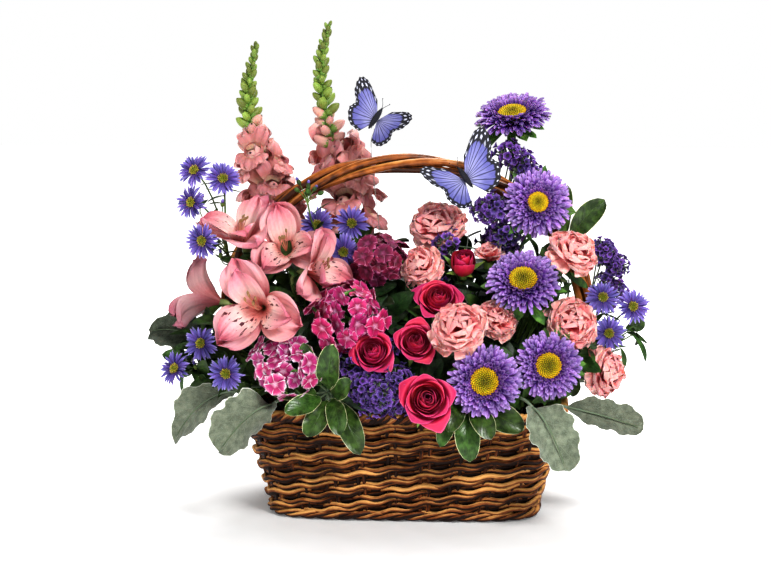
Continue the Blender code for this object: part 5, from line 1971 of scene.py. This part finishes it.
    def handle(self) -> list[bpy.types.Object]:
        """The four twisted rods of the handle, down inside the wall."""
        half_span, spring, rise, rods = 0.178, 0.195, 0.148, 4
        turns, pitch_radius, thickness = 3.0, 0.00594, 0.0039
        arc = np.linspace(-0.5 * math.pi, 0.5 * math.pi, 73)
        bow = np.stack((half_span * np.sin(arc), np.zeros(73), spring + rise * np.cos(arc)), axis=-1)
        foot, border, shoulder = (-0.1221, 0, 0.030), (-0.1372, 0, 0.106), (-0.1616, 0, 0.148)
        leg = curve([foot, border, shoulder, (-half_span, 0, spring)], 10)[:-1]
        line = np.vstack((leg, bow, leg[::-1] * np.array((-1, 1, 1))))
        line = self._even(line, 150)
        ahead = np.gradient(line, axis=0)
        ahead /= np.linalg.norm(ahead, axis=1)[:, None]
        outward = np.cross(ahead, (0.0, 1.0, 0.0))
        share = np.linspace(0.0, 1.0, len(line))
        made = []
        rng = np.random.default_rng(self.seed + 3)
        for index in range(rods):
            turn = 2 * math.pi * (turns * share + index / rods)
            away = outward * np.cos(turn)[:, None] + np.array((0, 1, 0)) * np.sin(turn)[:, None]
            path = line + pitch_radius * away
            size = thickness * (1 + 0.03 * np.sin(17 * share + index))
            sheaf = Sheaf()
            sheaf.add(rod(path, size, 14), rng.random(), rng.uniform(0.4, 0.9), closed=True,
                      span=(0.0, 9.0))
            node = f"handle_rod_{index + 1}"
            made.append(settle(sheaf.build(node + ".rod", [self.peeled]), "willow_rod", node))
        return made

    def _even(self, line: Grid, count: int) -> Grid:
        """The same line with points the same way apart."""
        walked = np.concatenate(((0.0,), np.cumsum(np.linalg.norm(np.diff(line, axis=0), axis=1))))
        at = np.linspace(0.0, walked[-1], count)
        return np.stack([np.interp(at, walked, line[:, k]) for k in range(3)], axis=-1)


@dataclass
class Packing:
    """The liner and the foam, which keep the frame's own shapes, and the leaves that fill the gaps.

    Args:
        liner: the liner's finish.
        foam: the foam's finish.
        leaves: how many broad leaves fill the gaps.
        lowest: how low a leaf may hang.
        tufts: the middle, radius and leaves of each tuft of narrow leaves.
    """

    liner: PlainFinish = PlainFinish("black_liner", hue("0b0c0e"), hue("1d1f22"), 120.0, 0.0004, 0.42)
    foam: PlainFinish = PlainFinish("wet_foam_green", hue("1f3a22"), hue("3c5c36"), 1100.0, 0.0012, 0.9)
    leaves: int = 820
    lowest: float = 0.109
    tufts: tuple[tuple[Place, float, int], ...] = (
        ((-0.175, -0.060, 0.168), 0.034, 60), ((-0.150, -0.080, 0.135), 0.030, 36),
        ((-0.150, -0.040, 0.225), 0.030, 36),
        ((0.170, -0.050, 0.165), 0.032, 46), ((0.125, -0.040, 0.250), 0.034, 40),
        ((0.120, -0.090, 0.130), 0.030, 30),
        ((-0.060, -0.060, 0.215), 0.036, 40), ((0.020, -0.050, 0.230), 0.036, 36),
        ((-0.112, -0.030, 0.238), 0.036, 60),
        ((0.135, -0.060, 0.215), 0.030, 36),
        ((-0.192, -0.070, 0.160), 0.030, 60), ((0.196, -0.030, 0.185), 0.032, 40),
    )

    def dress(self) -> None:
        """Gives the liner and the foam their finishes."""
        for node, finish in (("liner", self.liner), ("wet_foam", self.foam)):
            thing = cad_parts[node]
            thing.data.materials.clear()
            thing.data.materials.append(finish.material())
            LOG.info("%s: dressed", node)

    def filler(self) -> bpy.types.Object:
        """Dark leaves on short stalks out of the foam, behind and between the blooms."""
        rng = np.random.default_rng(77)
        made = Sheaf()
        for i in range(self.leaves):
            share = (i + 0.5) / self.leaves
            turn = i * GOLDEN_TURN
            rise = math.asin(-0.06 + 1.02 * share)
            out = Vector((math.cos(turn) * math.cos(rise), math.sin(turn) * math.cos(rise), math.sin(rise)))
            reach = rng.uniform(0.74, 1.0)
            place = Vector((out.x * 0.176, out.y * 0.110, out.z * 0.150)) * reach
            place += Vector((-0.005, -0.004, 0.112))
            leaf = Petal(
                rng.uniform(0.026, 0.048), rng.uniform(0.006, 0.012), 11, 7, waist=0.25, widest=0.5,
                tip=0.7,
                pitch=rng.uniform(0.2, 1.1), bend=rng.uniform(-1.3, -0.3), fold=0.3, ruffle=0.08,
                sway=rng.normal(0, 0.3),
            )
            points = leaf.grid(rng)
            way = (out + Vector(rng.normal(0, 0.25, 3))).normalized()
            grid = moved(points, stand(place, way, rng.uniform(0, 6.28)))
            root = Vector((place.x * 0.52, place.y * 0.42, 0.118))
            self._plant(made, grid, self._stalk(root, place, 0.006), 0 if i % 6 else 1, 0.0009, rng)
        for centre, radius, leaves in self.tufts:
            for _ in range(leaves):
                out = Vector(rng.normal(0, 1, 3)).normalized()
                place = Vector(centre) + out * radius * rng.uniform(0.2, 1.0)
                leaf = Petal(
                    rng.uniform(0.020, 0.040), rng.uniform(0.0035, 0.0080), 10, 5, waist=0.3, widest=0.5,
                    tip=0.7, pitch=rng.uniform(0.0, 1.0), bend=rng.uniform(-1.2, 0.0), fold=0.3,
                    sway=rng.normal(0, 0.3),
                )
                way = (out + Vector((0, -0.4, 0.5))).normalized()
                grid = moved(leaf.grid(rng), stand(place, way, rng.uniform(0, 6.28)))
                root = Vector((place.x * 0.72, place.y * 0.6, 0.12))
                self._plant(made, grid, self._stalk(root, place, 0.008), 1, 0.0007, rng)
        piece = made.build("filler_leaves", [Green.FILL.value, Green.FERN.value, Green.STEM.value])
        return settle(piece, "edged_leaf")

    def _stalk(self, root: Vector, place: Vector, bow: float) -> Grid:
        """The line of a stalk from its root to its leaf, bowed up by this much half way."""
        return curve([root, root.lerp(place, 0.5) + Vector((0, 0, bow)), place], 4)

    def _plant(self, made: Sheaf, grid: Grid, stalk: Grid, slot: int, thickness: float,
               rng: np.random.Generator) -> None:
        """Adds a leaf and its stalk, unless they hang too low or cross in front of a bloom.

        Args:
            made: what they are added to.
            grid: the leaf.
            stalk: the line of its stalk.
            slot: the leaf's finish.
            thickness: the radius of the stalk.
            rng: where their tints come from.
        """
        if grid[..., 2].min() < self.lowest or any(face.holds(grid) or face.holds(stalk) for face in FACES):
            return
        made.add(grid, rng.random(), slot=slot)
        made.add(tube(stalk, thickness, 5), rng.random(), slot=2, closed=True)


@dataclass
class Studio:
    """A pale floor, soft lights and the camera.

    Args:
        target: what the camera looks at.
        distance: how far away it stands.
        azimuth: how far right of the front it stands, in degrees.
        elevation: how far above the level it stands, in degrees.
        lens: its focal length in millimetres.
        gamma: the gamma of the picture, below 1 for deeper shadows.
        ambient: the strength of the light from all round.
        glow: the floor's own light, low under the basket as a painted shadow and high far away.
        reach: how far from the basket the one becomes the other.
    """

    target: Place = (-0.0205, 0.0, 0.212)
    distance: float = 1.82
    azimuth: float = 4.0
    elevation: float = 8.0
    lens: float = 85.0
    gamma: float = 0.8
    ambient: float = 0.27
    glow: tuple[float, float] = (0.16, 1.1)
    reach: tuple[float, float] = (0.14, 0.75)

    def floor(self) -> None:
        """The floor, which belongs to the stage."""
        finish = PlainFinish("pale_floor", hue("f8f8f7"), hue("fdfdfd"), 30.0, 0.0002, 0.75)
        mesh = bpy.data.meshes.new("floor")
        size = 6.0
        mesh.from_pydata([(-size, -size, 0), (size, -size, 0), (size, size, 0), (-size, size, 0)], [],
                         [(0, 1, 2, 3)])
        floor = bpy.data.objects.new("floor", mesh)
        material = finish.material()
        shader = material.node_tree.nodes["Principled BSDF"]
        # The floor glows: evenly white far from the basket, and dimmed near it as a painted shadow.
        shader.inputs["Emission Color"].default_value = (1.0, 1.0, 1.0, 1.0)
        nodes, links = material.node_tree.nodes, material.node_tree.links
        away = nodes.new("ShaderNodeVectorMath")
        away.operation = "LENGTH"
        links.new(nodes.new("ShaderNodeNewGeometry").outputs["Position"], away.inputs[0])
        level = nodes.new("ShaderNodeMapRange")
        for name, value in zip(("From Min", "From Max", "To Min", "To Max"), (*self.reach, *self.glow)):
            level.inputs[name].default_value = value
        links.new(away.outputs["Value"], level.inputs["Value"])
        links.new(level.outputs["Result"], shader.inputs["Emission Strength"])
        mesh.materials.append(material)
        bpy.context.scene.collection.objects.link(floor)

    def light(self, name: str, place: tuple, size: float, power: float,
              aim: tuple = (0.0, 0.0, 0.2)) -> None:
        """A square soft light at a place, aimed at a point."""
        lamp = bpy.data.lights.new(name, "AREA")
        lamp.size, lamp.energy = size, power
        thing = bpy.data.objects.new(name, lamp)
        way = Vector(aim) - Vector(place)
        thing.matrix_world = Matrix.Translation(place) @ way.to_track_quat("-Z", "Y").to_matrix().to_4x4()
        bpy.context.scene.collection.objects.link(thing)

    def build(self) -> None:
        """Makes the floor, the lights, the background and the camera."""
        scene = bpy.context.scene
        self.floor()
        world = bpy.data.worlds.new("studio")
        world.use_nodes = True
        tree = world.node_tree
        back = tree.nodes["Background"]
        back.inputs["Color"].default_value = (1.0, 1.0, 1.0, 1.0)
        seen = tree.nodes.new("ShaderNodeLightPath").outputs["Is Camera Ray"]
        level = tree.nodes.new("ShaderNodeMapRange")
        level.inputs["To Min"].default_value = self.ambient
        tree.links.new(seen, level.inputs["Value"])
        tree.links.new(level.outputs[0], back.inputs["Strength"])
        scene.world = world
        self.light("key", (0.8, -1.5, 1.5), 0.5, 36.0)
        self.light("fill", (-1.4, -1.4, 1.0), 1.0, 6.0)
        self.light("top", (0.1, 0.9, 1.8), 1.0, 30.0)
        scene.view_settings.view_transform = "Standard"
        scene.view_settings.gamma = self.gamma
        turn, rise = math.radians(self.azimuth), math.radians(self.elevation)
        back_way = Vector((math.sin(turn) * math.cos(rise), -math.cos(turn) * math.cos(rise),
                           math.sin(rise)))
        lens = bpy.data.cameras.new("camera")
        lens.lens, lens.sensor_width = self.lens, 36.0
        camera = bpy.data.objects.new("camera", lens)
        place = Vector(self.target) + back_way * self.distance
        aim = back_way.to_track_quat("Z", "Y").to_matrix().to_4x4()
        camera.matrix_world = Matrix.Translation(place) @ aim
        scene.collection.objects.link(camera)
        scene.camera = camera


ASTERS = ((-12, 62, 0.034), (5, 15, 0.030), (0, 42, 0.032), (8, 12, 0.029), (0, 12, 0.031))
ROSES = ((-5, 30, 0.0195), (5, 25, 0.0185), (8, 38, 0.0195), (5, 18, 0.0255))
CARNATIONS = (
    (-5, 50, 0.023), (-25, 32, 0.0175), (-8, 30, 0.022), (20, 30, 0.017), (10, 25, 0.021),
    (35, 45, 0.021), (55, 5, 0.021),
)
WILLIAMS = (
    (-8, 15, 0.030, 1.12, William.PINK_WHITE), (-10, 35, 0.029, 1.3, William.HOT_PINK),
    (-15, 45, 0.020, 1.6, William.MAGENTA),
)
LILIES = ((-25, 62, 0.029), (5, 28, 0.028), (62, 8, 0.025), (-12, 8, 0.032), (-105, 12, 0.028))


def make_blooms() -> None:
    """Makes the blooms that stand one to a stem."""
    for number, (yaw, lift, radius) in enumerate(ASTERS, 1):
        middle = 0.28 if number == 2 else 0.36
        ChinaAster(f"china_aster_{number}", yaw, lift, radius, 100 + number, drop=0.0, swell=1.12,
                   middle=middle).build()
    for number, (yaw, lift, radius) in enumerate(ROSES, 1):
        wide, swell = (1.0, 1.0) if number == 4 else (0.95, 1.16)
        Rose(f"spray_rose_{number}", yaw, lift, radius, 200 + number, drop=0.35, swell=swell, open=wide,
             petals=25).build()
    Rose("spray_rose_bud", 5, 55, 0.0125, 210, drop=0.0, swell=2.0, open=0.4, petals=12).build()
    for number, (yaw, lift, radius) in enumerate(CARNATIONS, 1):
        Carnation(f"carnation_{number}", yaw, lift, radius, 300 + number, swell=1.2).build()
    Carnation("carnation_bud", 0, 60, 0.0085, 310, drop=0.2, swell=2.4, petals=16, open=0.36).build()
    for number, (yaw, lift, radius, swell, colours) in enumerate(WILLIAMS, 1):
        SweetWilliam(f"sweet_william_{number}", yaw, lift, radius, 400 + number, swell=swell,
                     colours=colours).build()
    for number, (yaw, lift, radius) in enumerate(LILIES, 1):
        Alstroemeria(f"alstroemeria_{number}", yaw, lift, radius, 500 + number, drop=0.4, swell=1.2,
                     shade=number == 5).build()


def make_sprays() -> None:
    """Makes the forked sprays and the spikes."""
    SmallAsterSpray("small_aster_spray_1", (-0.178, -0.024, 0.270),
                    ((-30, 10), (-20, 30), (-20, 5), (5, 25)), 601).build()
    SmallAsterSpray("small_aster_spray_2", (-0.066, -0.030, 0.230), ((0, 60), (-5, 20), (8, 5), (8, 20)),
                    602).build()
    SmallAsterSpray("small_aster_spray_3", (-0.168, -0.068, 0.150), ((-35, 25), (-20, 15), (-10, 5)),
                    603).build()
    SmallAsterSpray("small_aster_spray_4", (0.186, -0.020, 0.160), ((10, 25), (15, 15), (20, 20)),
                    604).build()
    low = ((-0.044, -0.116, 0.158), (-0.030, -0.124, 0.134), (0.000, -0.118, 0.126),
           (-0.012, -0.106, 0.176))
    Statice("statice_1", (-0.010, -0.096, 0.136), 4, 0.011, 611, low).build()
    high = ((0.112, 0.012, 0.343), (0.103, 0.012, 0.352), (0.120, 0.014, 0.331), (0.098, -0.010, 0.262),
            (0.040, -0.036, 0.266), (0.030, -0.040, 0.232))
    Statice("statice_2", (0.084, 0.006, 0.256), 4, 0.012, 612, high).build()
    Statice("statice_3", (0.186, 0.026, 0.212), 3, 0.010, 613).build()
    Statice("statice_4", (-0.030, 0.060, 0.170), 3, 0.014, 614).build()
    first = ((-0.052, 0.028, 0.086), (-0.098, 0.040, 0.200), (-0.140, 0.046, 0.300), (-0.160, 0.052, 0.365),
             (-0.165, 0.057, 0.410), (-0.157, 0.062, 0.456))
    second = ((-0.024, 0.036, 0.086), (-0.040, 0.045, 0.200), (-0.062, 0.052, 0.300),
              (-0.082, 0.058, 0.370),
              (-0.091, 0.062, 0.430), (-0.083, 0.066, 0.478))
    Snapdragon("snapdragon_1", first, (0.31, 0.50), (0.53, 0.99), 0.034, 621).build()
    Snapdragon("snapdragon_2", second, (0.30, 0.50), (0.53, 0.99), 0.037, 622).build()


def make_leaves() -> None:
    """Makes the silver and the edged leaves."""
    silver = (
        ((-0.178, -0.044, 0.156), (-0.215, -0.050, 0.190), (-0.252, -0.040, 0.178), 0.044, -15, 25),
        ((-0.160, -0.086, 0.128), (-0.196, -0.096, 0.128), (-0.222, -0.078, 0.076), 0.042, -25, 20),
        ((-0.120, -0.116, 0.122), (-0.138, -0.150, 0.126), (-0.168, -0.138, 0.080), 0.054, -10, 30),
        ((0.126, -0.124, 0.124), (0.140, -0.148, 0.120), (0.158, -0.134, 0.066), 0.050, 10, 25),
        ((0.158, -0.080, 0.116), (0.194, -0.094, 0.112), (0.232, -0.082, 0.096), 0.036, 15, 30),
        ((-0.030, 0.104, 0.132), (-0.036, 0.148, 0.140), (-0.044, 0.164, 0.086), 0.060, 175, 30),
    )
    for number, (root, middle, tip, width, yaw, lift) in enumerate(silver, 1):
        rib = (root, middle, tip, width)
        DustyMiller(f"dusty_miller_{number}", (rib,), (yaw, lift), 800 + number, number == 1).build()
    twigs = (
        ((-0.068, -0.104, 0.130), (-10, 20), (
            ((-0.066, -0.138, 0.152), (-0.060, -0.138, 0.184), 0.020),
            ((-0.084, -0.142, 0.128), (-0.104, -0.146, 0.120), 0.017),
            ((-0.070, -0.142, 0.120), (-0.084, -0.140, 0.096), 0.020),
            ((-0.046, -0.142, 0.116), (-0.034, -0.140, 0.080), 0.020),
            ((-0.084, -0.132, 0.158), (-0.088, -0.132, 0.184), 0.015),
            ((-0.054, -0.142, 0.138), (-0.042, -0.144, 0.150), 0.016),
            ((-0.096, -0.132, 0.138), (-0.122, -0.134, 0.140), 0.016),
            ((-0.056, -0.144, 0.124), (-0.052, -0.150, 0.100), 0.017),
        )),
        ((0.064, -0.106, 0.124), (5, 20), (
            ((0.046, -0.138, 0.114), (0.040, -0.138, 0.088), 0.014),
            ((0.064, -0.142, 0.108), (0.068, -0.138, 0.074), 0.020),
            ((0.094, -0.132, 0.118), (0.118, -0.132, 0.104), 0.022),
            ((0.078, -0.144, 0.120), (0.088, -0.148, 0.098), 0.018),
            ((0.054, -0.142, 0.124), (0.048, -0.146, 0.104), 0.016),
        )),
        ((0.158, 0.022, 0.252), (15, 15), (
            ((0.174, 0.016, 0.288), (0.197, 0.024, 0.306), 0.020),
            ((0.154, 0.020, 0.292), (0.160, 0.026, 0.320), 0.014),
        )),
    )
    for number, (fork, face, leaves) in enumerate(twigs, 1):
        ribs = tuple((fork, *leaf) for leaf in leaves)
        Pittosporum(f"pittosporum_{number}", ribs, face, 850 + number, fork=fork).build()


def make_butterflies() -> None:
    """Makes the two butterflies."""
    Butterfly(
        1, (-0.028, 0.0, 0.386), (0.56, -0.10, 0.82), ((-0.77, 0.10, 0.63), (0.62, -0.72, -0.30)), 0.036,
        ((-0.032, 0.006, 0.376), (-0.036, 0.020, 0.350), (-0.024, 0.016, 0.240), (-0.010, 0.010, 0.088)),
    ).build()
    Butterfly(
        2, (0.058, -0.032, 0.330), (-0.60, 0.08, 0.80), ((-0.54, -0.76, -0.35), (0.78, 0.06, 0.62)), 0.043,
        ((0.060, -0.026, 0.316), (0.064, -0.026, 0.290), (0.052, -0.020, 0.200), (0.030, -0.010, 0.088)),
    ).build()


def main() -> None:
    """Builds the arrangement and the studio, in order."""
    logging.basicConfig(level=logging.INFO, format="%(name)s: %(message)s")
    packing = Packing()
    packing.dress()
    basket = Basket()
    basket.base()
    basket.wall()
    basket.border()
    basket.handle()
    make_blooms()
    make_sprays()
    make_leaves()
    make_butterflies()
    packing.filler()
    Studio().build()


if __name__ == "__main__":
    main()
